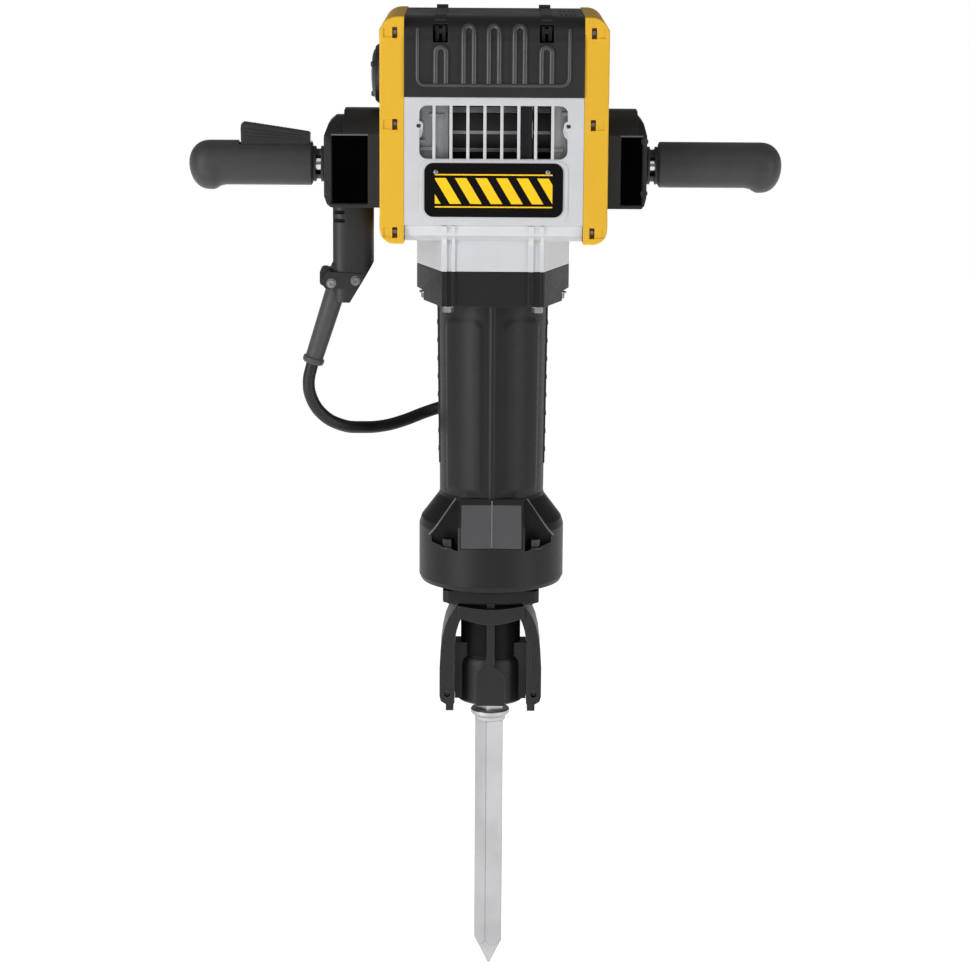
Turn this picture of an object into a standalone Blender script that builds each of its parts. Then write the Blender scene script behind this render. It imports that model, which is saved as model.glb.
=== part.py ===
"""Electric demolition hammer of the upright two-handed kind, with a hexagonal moil point.

Metres, +Z up. The origin lies on the line through the two grips, over the barrel's axis.
The front of the tool faces -Y and its left handle, with the cord, lies towards -X.
"""

import math

import bmesh
import bpy
from mathutils import Vector

# ---- fits ----
GAP = 0.0003            # between touching pieces
RUN = 0.0006            # running clearance of sliding and turning pieces

# ---- head ----
HEAD_WIDTH = 0.2390
HEAD_DEPTH = 0.1900
HEAD_TOP = 0.1630
HEAD_BOTTOM = -0.0720
HOOD_BOTTOM = 0.0800
COVER_WIDTH = 0.0255
COVER_ROUND = 0.0150
CASE_WALL = 0.0075
HOOD_WALL = 0.0030
HOOD_PROUD = 0.0020
HOOD_SHOULDER = 0.0260
GRILLE_WIDTH = 0.1570
GRILLE_TOP = 0.0730
GRILLE_HEIGHT = 0.0560
GRILLE_BAYS = 9
BAR_WIDTH = 0.0032
PLATE_SIZE = (0.1454, 0.0566, 0.0025)
PLATE_MIDDLE = -0.0167
SCREW_POCKET = (0.0130, 0.0050, 0.0130)
SCREW_POCKET_SPOTS = (0.1465, 0.0515, -0.0618)

# ---- barrel, top to bottom ----
NECK_HALF = 0.0820
NECK_FLAT = 0.0545
NECK_DEPTH = 0.0790
NECK_SIDE_FLAT = 0.0250
NECK_HEIGHT = 0.0290
COLLAR_HEIGHT = 0.0360
TUBE_LENGTH = 0.2190
TUBE_TOP_RADIUS = 0.0598
TUBE_FOOT_RADIUS = 0.0567
TUBE_WALL = 0.0050
FLARE_HEIGHT = 0.0290
BELL_RADIUS = 0.0792
BELL_HEIGHT = 0.0700
BELL_CHAMFER = 0.0175
BELL_FOOT_RADIUS = 0.0532
BELL_BORE = 0.0515
BELL_ROOM = 0.0640
GUIDE_WALL = 0.0090
FLANGE_HALF = 0.0528
FLANGE_HEIGHT = 0.0130

# ---- nose ----
NOSE_LENGTH = 0.1085
NOSE_NECK_RADIUS = 0.0320
NOSE_DOME_RADIUS = 0.0357
NOSE_DOME_HEIGHT = 0.0500
LINER_RADIUS = 0.0237
HEX_FLATS = 0.0286
SHANK_LENGTH = 0.1480
CHISEL_TRAVEL = 0.0115
CHISEL_LENGTH = 0.4490
CHISEL_COLLAR_RADIUS = 0.0215
CHISEL_COLLAR_HEIGHT = 0.0130
MOIL_LENGTH = 0.0320
PIN_RADIUS = 0.0070
PIN_BEHIND = 0.0180
PIN_ABOVE_FOOT = 0.0085
YOKE_INNER = 0.0394
YOKE_OUTER = 0.0569
YOKE_DEPTH = 0.0260
YOKE_FRONT = 0.0440
YOKE_RELEASE = math.radians(115.0)
RING_HEIGHT = 0.0170

# ---- drive ----
MOTOR_AXIS = 0.0970
CRANK_AXIS = 0.0050
CRANK_THROW = 0.0280
ROD_LENGTH = 0.1200
ROD_HALF_WIDTH = 0.0100
BORE_RADIUS = 0.0330
CYLINDER_WALL = 0.0055
ROD_MOUTH = 0.0041
PISTON_HEIGHT = 0.0550
WRIST_RADIUS = 0.0070
CRANKPIN_RADIUS = 0.0090
RAM_LENGTH = 0.0900
RAM_LIFT = 0.0246
BEAT_RADIUS = 0.0200
BEAT_HEAD_RADIUS = 0.0280
GEAR_MODULE = 0.0020
FIRST_PINION = 10
FIRST_GEAR = 36
SECOND_PINION = 10
SECOND_GEAR = 38
PRESSURE_ANGLE = math.radians(25.0)
BACKLASH = 0.0003
BEARING_PLATE_X = 0.0280
BEARING_PLATE = 0.0120
SHAFT_RADIUS = 0.0060
ARMATURE_RADIUS = 0.0270
STATOR_RADIUS = 0.0445
SHROUD_RADIUS = 0.0620
SHROUD_MIDDLE = 0.0400
SHROUD_WALL = 0.0020
END_CAP_RADIUS = 0.0320
END_CAP_BULGE = 0.0115

# ---- handles ----
LEFT_BRACKET = 0.0606
RIGHT_BRACKET = 0.0429
BRACKET_HALF_DEPTH = 0.0450
BRACKET_TOP = 0.0595
BRACKET_BOTTOM = -0.0420
PIVOT_INSET = 0.0220
PIVOT_RADIUS = 0.0060
EYE_RADIUS = 0.0125
ARM_RADIUS = 0.0110
HANDLE_SWING = math.radians(3.0)
LEFT_GRIP_RADIUS = 0.0226
RIGHT_GRIP_RADIUS = 0.0238
GRIP_LENGTH = 0.1330
GRIP_BULB = 0.0033
NECK_LENGTH = 0.0120
LEVER_LENGTH = 0.0680
LEVER_WIDTH = 0.0240
LEVER_RISE = 0.0215

# ---- cord ----
CORD_DIAMETER = 0.0136
CORD_HOUSING_WIDTH = 0.0437
CORD_HOUSING_DEPTH = 0.0440
BOOT_RADIUS = 0.0110
BOOT_LENGTH = 0.0870
BOOT_LEAN = math.radians(17.7)
HANK_LENGTH = 0.2500
HANK_WIDTH = 0.0950
HANK_TURN = 0.0138
HANK_LAYERS = 4
HANK_FRONT = 0.0830
HANK_MIDDLE = -0.2500
PLUG_RADIUS = 0.0170
PLUG_TAIL_RADIUS = 0.0105
PLUG_LENGTH = 0.0560

# ---- levels that follow from the sizes above ----
NECK_BOTTOM = HEAD_BOTTOM - NECK_HEIGHT
COLLAR_BOTTOM = NECK_BOTTOM - COLLAR_HEIGHT
TUBE_BOTTOM = COLLAR_BOTTOM - TUBE_LENGTH
BELL_TOP = TUBE_BOTTOM - FLARE_HEIGHT
BELL_BOTTOM = BELL_TOP - BELL_HEIGHT - BELL_CHAMFER
FLANGE_BOTTOM = BELL_BOTTOM - FLANGE_HEIGHT
NOSE_BOTTOM = FLANGE_BOTTOM - NOSE_LENGTH
SHANK_FOOT = NOSE_BOTTOM - CHISEL_TRAVEL - GAP
SHANK_TOP = SHANK_FOOT + SHANK_LENGTH
PIN_HEIGHT = NOSE_BOTTOM + PIN_ABOVE_FOOT
BEAT_FOOT = SHANK_TOP + GAP
BEAT_TOP = TUBE_BOTTOM - 0.0140
CYLINDER_TOP = HEAD_BOTTOM + CASE_WALL - 0.0010
CYLINDER_BOTTOM = TUBE_BOTTOM - 0.0040
CYLINDER_RADIUS = BORE_RADIUS + CYLINDER_WALL
RAM_BOTTOM = BEAT_TOP + RAM_LIFT + GAP
CASE_HALF = HEAD_WIDTH / 2 - COVER_WIDTH
WRIST_HEIGHT = CRANK_AXIS + CRANK_THROW - ROD_LENGTH
FIRST_CENTRES = GEAR_MODULE * (FIRST_PINION + FIRST_GEAR) / 2
SECOND_CENTRES = GEAR_MODULE * (SECOND_PINION + SECOND_GEAR) / 2
AXIS_DROP = MOTOR_AXIS - CRANK_AXIS
COUNTER_DROP = (FIRST_CENTRES**2 - SECOND_CENTRES**2 + AXIS_DROP**2) / (2 * AXIS_DROP)
COUNTER_Z = MOTOR_AXIS - COUNTER_DROP
COUNTER_Y = math.sqrt(max(FIRST_CENTRES**2 - COUNTER_DROP**2, 0.0))

ROUND = 32              # steps round a large turned piece
SMALL_ROUND = 20        # steps round a small one

for old in list(bpy.data.objects):
    bpy.data.objects.remove(old, do_unlink=True)

PARTS = bpy.data.collections.new("demolition_hammer")
CUTTERS = bpy.data.collections.new("cutters")
bpy.context.scene.collection.children.link(PARTS)
bpy.context.scene.collection.children.link(CUTTERS)

LOOKS = {
    "yellow": ("yellow glass-filled nylon", "F0BF2A", 0.42, 0.0),
    "black": ("black glass-filled nylon", "2E2E30", 0.55, 0.0),
    "silver": ("sand-cast aluminium", "D0D0D2", 0.38, 1.0),
    "barrel": ("black powder-coated steel", "333335", 0.45, 0.2),
    "steel": ("ground steel", "B9BABC", 0.30, 1.0),
    "forged": ("forged chisel steel", "C4C4C4", 0.34, 1.0),
    "copper": ("copper winding", "A86A3C", 0.40, 1.0),
    "rubber": ("soft black rubber", "262627", 0.75, 0.0),
    "plate": ("printed aluminium plate", "111112", 0.35, 0.1),
}


def linear(channel):
    if channel <= 0.04045:
        return channel / 12.92
    return ((channel + 0.055) / 1.055) ** 2.4


def material_of(key):
    name, code, rough, metal = LOOKS[key]
    found = bpy.data.materials.get(name)
    if found:
        return found
    made = bpy.data.materials.new(name)
    made.use_nodes = True
    shader = made.node_tree.nodes["Principled BSDF"]
    rgb = [linear(int(code[i:i + 2], 16) / 255) for i in (0, 2, 4)]
    shader.inputs["Base Color"].default_value = (*rgb, 1.0)
    shader.inputs["Roughness"].default_value = rough
    shader.inputs["Metallic"].default_value = metal
    made.diffuse_color = (*rgb, 1.0)
    return made


def place(name, mesh, where=(0, 0, 0), turn=(0, 0, 0), look=None):
    """Puts a mesh in the scene, as a part if it has a look and as a cutter if it has none."""
    made = bpy.data.objects.new(name, mesh)
    made.location = where
    made.rotation_euler = turn
    if look:
        PARTS.objects.link(made)
        mesh.materials.clear()
        mesh.materials.append(material_of(look))
    else:
        CUTTERS.objects.link(made)
        made.hide_render = True
        made.display_type = "WIRE"
    return made


def bevel(target, width, segments=2):
    edge = target.modifiers.new("rounded edges", "BEVEL")
    edge.width = width
    edge.segments = segments
    edge.limit_method = "ANGLE"
    edge.angle_limit = math.radians(40)
    return target


def combine(target, tool, operation):
    cut = target.modifiers.new(operation.lower() + " " + tool.name, "BOOLEAN")
    cut.operation = operation
    cut.solver = "EXACT"
    cut.object = tool
    return target


def cut(target, *tools):
    for tool in tools:
        combine(target, tool, "DIFFERENCE")
    return target


def join(target, *tools):
    for tool in tools:
        combine(target, tool, "UNION")
    return target


def box(name, low, high, look=None, rounding=0.0, segments=2):
    """A block between two corners, with its own middle as origin."""
    low, high = Vector(low), Vector(high)
    mesh = bpy.data.meshes.new(name)
    shape = bmesh.new()
    bmesh.ops.create_cube(shape, size=1.0)
    bmesh.ops.scale(shape, vec=high - low, verts=shape.verts)
    shape.to_mesh(mesh)
    shape.free()
    made = place(name, mesh, (low + high) / 2, look=look)
    if rounding:
        bevel(made, rounding, segments)
    return made


TURNS = {"X": (0, math.pi / 2, 0), "Y": (-math.pi / 2, 0, 0), "Z": (0, 0, 0)}


def turned(name, profile, where=(0, 0, 0), axis="Z", look=None, steps=ROUND, ring=False):
    """A profile of (radius, height) points, top to bottom down its outer side, turned about the axis."""
    mesh = bpy.data.meshes.new(name)
    points = [(radius, 0.0, height) for radius, height in profile]
    edges = [(i, i + 1) for i in range(len(points) - 1)]
    if ring:
        edges.append((len(points) - 1, 0))
    mesh.from_pydata(points, edges, [])
    made = place(name, mesh, where, TURNS[axis], look)
    screw = made.modifiers.new("turned", "SCREW")
    screw.steps = steps
    screw.render_steps = steps
    screw.use_merge_vertices = True
    screw.merge_threshold = 0.00001
    screw.use_smooth_shade = True
    return made


def rod(name, radius, low, high, where=(0, 0, 0), axis="Z", look=None, steps=SMALL_ROUND, edge=0.0):
    """A solid cylinder from low to high along its axis, with an optional chamfer."""
    if edge:
        profile = [(0, high), (radius - edge, high), (radius, high - edge)]
        profile += [(radius, low + edge), (radius - edge, low), (0, low)]
    else:
        profile = [(0, high), (radius, high), (radius, low), (0, low)]
    return turned(name, profile, where, axis, look, steps)


def ring(name, outer, inner, low, high, where=(0, 0, 0), axis="Z", look=None, steps=SMALL_ROUND):
    profile = [(outer, high), (outer, low), (inner, low), (inner, high)]
    return turned(name, profile, where, axis, look, steps, ring=True)


SHEET_TURNS = {
    "X": (math.pi / 2, 0, math.pi / 2),
    "Y": (math.pi / 2, 0, 0),
    "Z": (0, 0, 0),
}


def sheet(name, outlines, low, high, axis="Z", where=(0, 0, 0), look=None):
    """Flat outlines, the first with the others as holes, as thick as low to high along the axis."""
    flat = bpy.data.curves.new(name + "_outline", "CURVE")
    flat.dimensions = "2D"
    flat.fill_mode = "BOTH"
    flat.extrude = (high - low) / 2
    for outline in outlines:
        line = flat.splines.new("POLY")
        line.points.add(len(outline) - 1)
        for point, (across, up) in zip(line.points, outline):
            point.co = (across, up, 0.0, 1.0)
        line.use_cyclic_u = True
    guide = bpy.data.objects.new(name + "_guide", flat)
    CUTTERS.objects.link(guide)
    bpy.context.view_layer.update()
    solid = guide.evaluated_get(bpy.context.evaluated_depsgraph_get())
    mesh = bpy.data.meshes.new_from_object(solid)
    mesh.name = name
    shape = bmesh.new()
    shape.from_mesh(mesh)
    bmesh.ops.remove_doubles(shape, verts=shape.verts, dist=0.00001)
    shape.to_mesh(mesh)
    shape.free()
    bpy.data.objects.remove(guide, do_unlink=True)
    middle = (low + high) / 2
    along = {"X": (middle, 0, 0), "Y": (0, middle, 0), "Z": (0, 0, middle)}[axis]
    return place(name, mesh, Vector(where) + Vector(along), SHEET_TURNS[axis], look)


def circle(radius, centre=(0.0, 0.0), count=SMALL_ROUND, start=0.0, sweep=2 * math.pi):
    whole = abs(sweep - 2 * math.pi) < 0.001
    steps = count if whole else count - 1
    angles = [start + sweep * i / steps for i in range(count)]
    return [(centre[0] + radius * math.cos(a), centre[1] + radius * math.sin(a)) for a in angles]


def rounded_box(width, height, radius, centre=(0.0, 0.0), per_corner=5):
    points = []
    for i, (sx, sy) in enumerate(((1, 1), (-1, 1), (-1, -1), (1, -1))):
        middle = (centre[0] + sx * (width / 2 - radius), centre[1] + sy * (height / 2 - radius))
        points += circle(radius, middle, per_corner, i * math.pi / 2, math.pi / 2)
    return points


def hexagon(flats):
    """Corners of a hexagon with a corner towards the front."""
    return circle(flats / math.sqrt(3), count=6, start=math.pi / 6)


def hang(pieces, name, where):
    """Parents moving pieces to an empty that stands on their joint's axis."""
    pivot = bpy.data.objects.new(name, None)
    pivot.location = where
    pivot.empty_display_size = 0.03
    PARTS.objects.link(pivot)
    bpy.context.view_layer.update()
    for piece in pieces:
        piece.parent = pivot
        piece.matrix_parent_inverse = pivot.matrix_world.inverted()


# ---- head ----
def neck_outline(grow=0.0):
    half, depth = NECK_HALF + grow, NECK_DEPTH + grow
    corner = [(NECK_FLAT, -depth), (half, -NECK_SIDE_FLAT), (half, NECK_SIDE_FLAT), (NECK_FLAT, depth)]
    return corner + [(-x, y) for x, y in reversed(corner)]


def crankcase():
    half, deep = CASE_HALF - GAP, HEAD_DEPTH / 2
    case = box("crankcase_casting", (-half, -deep, HEAD_BOTTOM), (half, deep, HOOD_BOTTOM - GAP), "silver")
    bevel(case, 0.002, 1)
    neck = sheet("neck_block", [neck_outline()], NECK_BOTTOM + GAP, HEAD_BOTTOM + CASE_WALL / 2)
    join(case, neck)
    hollow = box(
        "case_hollow",
        (-half + CASE_WALL, -deep + CASE_WALL, HEAD_BOTTOM + CASE_WALL),
        (half - CASE_WALL, deep - CASE_WALL, HOOD_BOTTOM + CASE_WALL),
    )
    bore = rod(
        "neck_bore", CYLINDER_RADIUS + GAP, NECK_BOTTOM - CASE_WALL, HEAD_BOTTOM + 2 * CASE_WALL, steps=ROUND
    )
    cut(case, hollow, bore)
    for side in (-1, 1):
        x = side * half
        window = box(
            f"side_window_{side}",
            (x - 2 * CASE_WALL, -deep * 0.6, HEAD_BOTTOM + 3 * CASE_WALL),
            (x + 2 * CASE_WALL, deep * 0.6, HOOD_BOTTOM - 2 * CASE_WALL),
        )
        cut(case, window)
    pitch = (GRILLE_WIDTH + BAR_WIDTH) / GRILLE_BAYS
    low = GRILLE_TOP - GRILLE_HEIGHT
    for i in range(GRILLE_BAYS):
        x = -GRILLE_WIDTH / 2 + i * pitch
        bay = box(
            f"grille_bay_{i}",
            (x, -deep - CASE_WALL, low),
            (x + pitch - BAR_WIDTH, -deep + 2 * CASE_WALL, GRILLE_TOP),
        )
        cut(case, bay)
    return case


def cover(side, name):
    """A dished cover: square towards the case, rounded on its outer edges, hollow behind."""
    inner, outer = side * CASE_HALF, side * HEAD_WIDTH / 2
    deep = HEAD_DEPTH / 2
    over = side * COVER_ROUND * 3
    ends = sorted((inner - over, outer))
    body = box(name, (ends[0], -deep, HEAD_BOTTOM - 0.002), (ends[1], deep, HEAD_TOP), "yellow")
    bevel(body, COVER_ROUND, 3)
    back = sorted((inner, inner - 2 * over))
    cut(body, box(name + "_back", (back[0], -0.2, -0.3), (back[1], 0.2, 0.3)))
    wall = COVER_WIDTH * 0.3
    hollow = sorted((inner - side * wall, outer - side * wall))
    cut(body, box(
        name + "_hollow",
        (hollow[0], -deep + 0.02, HEAD_BOTTOM + 0.02),
        (hollow[1], deep - 0.02, HEAD_TOP - 0.02),
    ))
    return body


def screw_pockets(body, side, name):
    """Square-cut pockets for the cover screws, three down the front and three down the back."""
    across, deep, tall = SCREW_POCKET
    edge = HEAD_DEPTH / 2
    near = side * (CASE_HALF + COVER_WIDTH * 0.36)
    ends = sorted((near, near + side * across * 2))
    for i, height in enumerate(SCREW_POCKET_SPOTS):
        for face in (-1, 1):
            depths = sorted((face * (edge - deep), face * (edge + deep)))
            cut(body, box(
                f"{name}_pocket_{i}_{face}",
                (ends[0], depths[0], height - tall / 2),
                (ends[1], depths[1], height + tall / 2),
            ))


def left_cover():
    body = cover(-1, "left_side_cover")
    screw_pockets(body, -1, "left")
    reach = (-HEAD_WIDTH, -CASE_HALF + 0.01)
    bore = rod("cap_bore", END_CAP_RADIUS - 0.003, *reach, (0, 0, MOTOR_AXIS), "X", steps=ROUND)
    cut(body, bore)


def right_cover():
    body = cover(1, "right_side_cover")
    screw_pockets(body, 1, "right")


def hood_outline(inset=0.0):
    deep = HEAD_DEPTH / 2 + HOOD_PROUD - inset
    top = HEAD_TOP - inset
    drop = HOOD_SHOULDER
    front = [(-deep, HOOD_BOTTOM + inset), (-deep, top - drop)]
    front += [(-deep + 0.004, top - drop * 0.55), (-deep + 0.012, top - drop * 0.2), (-deep + 0.022, top)]
    return front + [(-y, z) for y, z in reversed(front)]


def hood():
    half = CASE_HALF - GAP
    top = sheet("top_hood", [hood_outline()], -half, half, "X", look="black")
    inner = [(y, z - (0.02 if z < HOOD_BOTTOM + 0.01 else 0.0)) for y, z in hood_outline(HOOD_WALL)]
    cut(top, sheet("hood_hollow", [inner], -half + HOOD_WALL, half - HOOD_WALL, "X"))
    rib_foot = HOOD_BOTTOM + 0.014
    front = -(HEAD_DEPTH / 2 + HOOD_PROUD)
    for i, x in enumerate((-0.0265, 0.0, 0.0265)):
        rib = box(
            f"hood_rib_{i}",
            (x - 0.006, front - 0.0025, rib_foot),
            (x + 0.006, front + HOOD_WALL / 2, HEAD_TOP - HOOD_SHOULDER - 0.002),
            rounding=0.0018,
            segments=1,
        )
        join(top, rib)
    for side in (-1, 1):
        bore = box(
            f"hood_side_{side}",
            (side * half - 0.01, -STATOR_RADIUS * 0.6, HOOD_BOTTOM - 0.01),
            (side * half + 0.01, STATOR_RADIUS * 0.6, MOTOR_AXIS + STATOR_RADIUS * 0.6),
        )
        cut(top, bore)
    return top


def end_cap():
    spigot = END_CAP_RADIUS - 0.003 - GAP
    face = -HEAD_WIDTH / 2 - GAP
    depth = COVER_WIDTH * 0.45
    rim = END_CAP_RADIUS
    profile = [(0, -face + END_CAP_BULGE), (rim * 0.55, -face + END_CAP_BULGE * 0.86)]
    profile += [(rim * 0.88, -face + END_CAP_BULGE * 0.5), (rim, -face + END_CAP_BULGE * 0.2), (rim, -face)]
    profile += [(spigot, -face), (spigot, -face - depth), (0, -face - depth)]
    cap = turned("motor_end_cap", profile, (0, 0, MOTOR_AXIS), "X", "black")
    cap.rotation_euler = (0, -math.pi / 2, 0)


def name_plate():
    width, height, thick = PLATE_SIZE
    face = -HEAD_DEPTH / 2 - GAP
    outline = rounded_box(width, height, 0.0095, (0.0, PLATE_MIDDLE))
    sheet("name_plate", [outline], face - thick, face, "Y", look="plate")


# ---- barrel ----
def barrel():
    collar = sheet("barrel_collar", [neck_outline()], COLLAR_BOTTOM + GAP, NECK_BOTTOM, look="barrel")
    bevel(collar, 0.0015, 1)
    bore = rod("collar_bore", CYLINDER_RADIUS + GAP, COLLAR_BOTTOM - 0.01, NECK_BOTTOM + 0.01, steps=ROUND)
    cut(collar, bore)
    outer, foot = TUBE_TOP_RADIUS, TUBE_FOOT_RADIUS
    turned(
        "barrel_tube",
        [
            (outer, COLLAR_BOTTOM),
            (foot, TUBE_BOTTOM + GAP),
            (foot - TUBE_WALL, TUBE_BOTTOM + GAP),
            (outer - TUBE_WALL, COLLAR_BOTTOM),
        ],
        look="barrel",
        ring=True,
    )
    cylinder = ring(
        "cylinder", CYLINDER_RADIUS, BORE_RADIUS, CYLINDER_BOTTOM, CYLINDER_TOP, look="steel", steps=ROUND
    )
    mouth = [(0, CYLINDER_TOP + 0.001), (BORE_RADIUS + ROD_MOUTH, CYLINDER_TOP + 0.001)]
    mouth += [(BORE_RADIUS - 0.0002, CYLINDER_TOP - 0.0190), (0, CYLINDER_TOP - 0.0190)]
    cut(cylinder, turned("rod_mouth", mouth))


def bell():
    guide_bore = LINER_RADIUS + 0.002
    floor = BELL_BOTTOM + 0.0105
    body = turned(
        "nose_bell",
        [
            (TUBE_FOOT_RADIUS, TUBE_BOTTOM),
            (BELL_RADIUS - 0.0016, BELL_TOP + 0.001),
            (BELL_RADIUS, BELL_TOP - 0.006),
            (BELL_RADIUS, BELL_BOTTOM + BELL_CHAMFER + 0.001),
            (BELL_RADIUS - 0.004, BELL_BOTTOM + BELL_CHAMFER - 0.005),
            (BELL_FOOT_RADIUS, BELL_BOTTOM + GAP),
            (guide_bore, BELL_BOTTOM + GAP),
            (guide_bore, floor),
            (BELL_BORE, floor),
            (BELL_ROOM, floor + 0.014),
            (BELL_ROOM, BELL_TOP - 0.004),
            (BELL_BORE, TUBE_BOTTOM - 0.006),
            (BELL_BORE, TUBE_BOTTOM),
        ],
        look="barrel",
        ring=True,
    )
    top, low = TUBE_BOTTOM - 0.008, BELL_TOP - 0.030
    for face in (-1, 1):
        for side in (-1, 1):
            outline = [(0.0370, top), (0.0370, low), (0.0540, low + 0.006), (0.0640, low + 0.016), (0.0430, top)]
            outline = [(side * x, z) for x, z in outline]
            ends = sorted((face * 0.0400, face * 0.1000))
            cut(body, sheet(f"bolt_bay_{face}_{side}", [outline], ends[0], ends[1], "Y"))
    plate = sheet(
        "nose_flange",
        [rounded_box(2 * FLANGE_HALF, 2 * FLANGE_HALF, 0.010, per_corner=3), circle(guide_bore)],
        FLANGE_BOTTOM,
        BELL_BOTTOM,
        look="barrel",
    )
    bevel(plate, 0.0015, 1)
    low, high = floor + GAP, floor + 0.040
    sleeve = BEAT_RADIUS + RUN + GUIDE_WALL
    turned(
        "beat_guide",
        [
            (sleeve, high),
            (sleeve, low + GUIDE_WALL),
            (BELL_BORE - 2 * GAP, low + GUIDE_WALL),
            (BELL_BORE - 2 * GAP, low),
            (BEAT_RADIUS + RUN, low),
            (BEAT_RADIUS + RUN, high),
        ],
        look="steel",
        ring=True,
    )


# ---- nose ----
def nose():
    top = FLANGE_BOTTOM - GAP
    shoulder = NOSE_BOTTOM + NOSE_DOME_HEIGHT
    bore = LINER_RADIUS + GAP
    body = turned(
        "tool_holder",
        [
            (NOSE_NECK_RADIUS + 0.0015, top),
            (NOSE_NECK_RADIUS + 0.0015, top - 0.005),
            (NOSE_NECK_RADIUS, top - 0.007),
            (NOSE_NECK_RADIUS, shoulder + 0.004),
            (NOSE_DOME_RADIUS - 0.002, shoulder - 0.006),
            (NOSE_DOME_RADIUS, shoulder - 0.014),
            (NOSE_DOME_RADIUS, NOSE_BOTTOM + 0.002),
            (NOSE_DOME_RADIUS - 0.002, NOSE_BOTTOM),
            (bore, NOSE_BOTTOM),
            (bore, top),
        ],
        look="barrel",
        ring=True,
    )
    rib = box("nose_rib", (-0.004, -NOSE_DOME_RADIUS, shoulder - 0.01), (0.004, -bore - 0.001, top - 0.002))
    boss = rod("nose_boss", 0.0170, NOSE_BOTTOM, shoulder - 0.004, (0, -0.0215, 0), edge=0.004)
    join(body, rib, boss)
    pin_hole = rod("pin_hole", PIN_RADIUS + RUN, -0.06, 0.06, (0, PIN_BEHIND, PIN_HEIGHT), "X")
    cut(body, rod("nose_bore", bore, NOSE_BOTTOM - 0.02, top + 0.02, steps=ROUND), pin_hole)
    liner = sheet(
        "hex_liner",
        [circle(LINER_RADIUS, count=ROUND), hexagon(HEX_FLATS + 2 * GAP)],
        NOSE_BOTTOM + 0.0005,
        FLANGE_BOTTOM - 0.006,
        look="steel",
    )
    cut(liner, pin_hole)


def arm_outline(side):
    top, foot = FLANGE_BOTTOM - 0.002, NOSE_BOTTOM - 0.003
    outer, inner = YOKE_OUTER, YOKE_INNER
    points = [
        (inner - 0.0050, top),
        (inner + 0.0030, top),
        (inner + 0.0105, top - 0.020),
        (inner + 0.0145, top - 0.040),
        (outer, top - 0.068),
        (outer, foot),
        (outer - 0.005, foot - 0.002),
        (outer - 0.007, foot - 0.008),
        (inner + 0.003, foot - 0.008),
        (inner + 0.003, foot),
        (inner, foot + 0.003),
        (inner, top - 0.026),
        (inner - 0.0040, top - 0.012),
    ]
    return [(side * x, z) for x, z in points]


def retainer():
    top = FLANGE_BOTTOM - 0.002
    front = -YOKE_DEPTH / 2
    back = PIN_BEHIND + PIN_RADIUS + 0.004
    yoke = sheet("retainer_yoke", [arm_outline(-1)], front, back, "Y", look="barrel")
    other = sheet("yoke_arm", [arm_outline(1)], front, back, "Y")
    reach = YOKE_INNER - 0.0050
    outer = circle(1.0, (0, 0), 15, math.pi, math.pi)
    band = [(x * (reach + 0.007), front + 0.012 + y * (YOKE_FRONT + front + 0.012)) for x, y in outer]
    band += [(x * (reach - 0.0005), front + 0.012 + y * (YOKE_FRONT + front + 0.005)) for x, y in reversed(outer)]
    arch = sheet("yoke_arch", [band], top - RING_HEIGHT, top, "Z")
    join(yoke, other, arch)
    hole = rod("yoke_hole", PIN_RADIUS + GAP, -0.1, 0.1, (0, PIN_BEHIND, PIN_HEIGHT), "X")
    cut(yoke, hole)
    pin = rod(
        "retaining_pin", PIN_RADIUS, -YOKE_OUTER + 0.004, YOKE_OUTER - 0.004,
        (0, PIN_BEHIND, PIN_HEIGHT), "X", "steel", edge=0.001,
    )
    flat = box(
        "pin_flat",
        (-LINER_RADIUS, -0.02, -0.02),
        (LINER_RADIUS, -0.0010, 0.02),
    )
    flat.location = (0, PIN_BEHIND, PIN_HEIGHT)
    flat.rotation_euler = (-YOKE_RELEASE, 0, 0)
    for corner in flat.data.vertices:
        corner.co.y -= 0.0105
    cut(pin, flat)
    hang((yoke, pin), "retainer_pivot", (0, PIN_BEHIND, PIN_HEIGHT))


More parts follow.
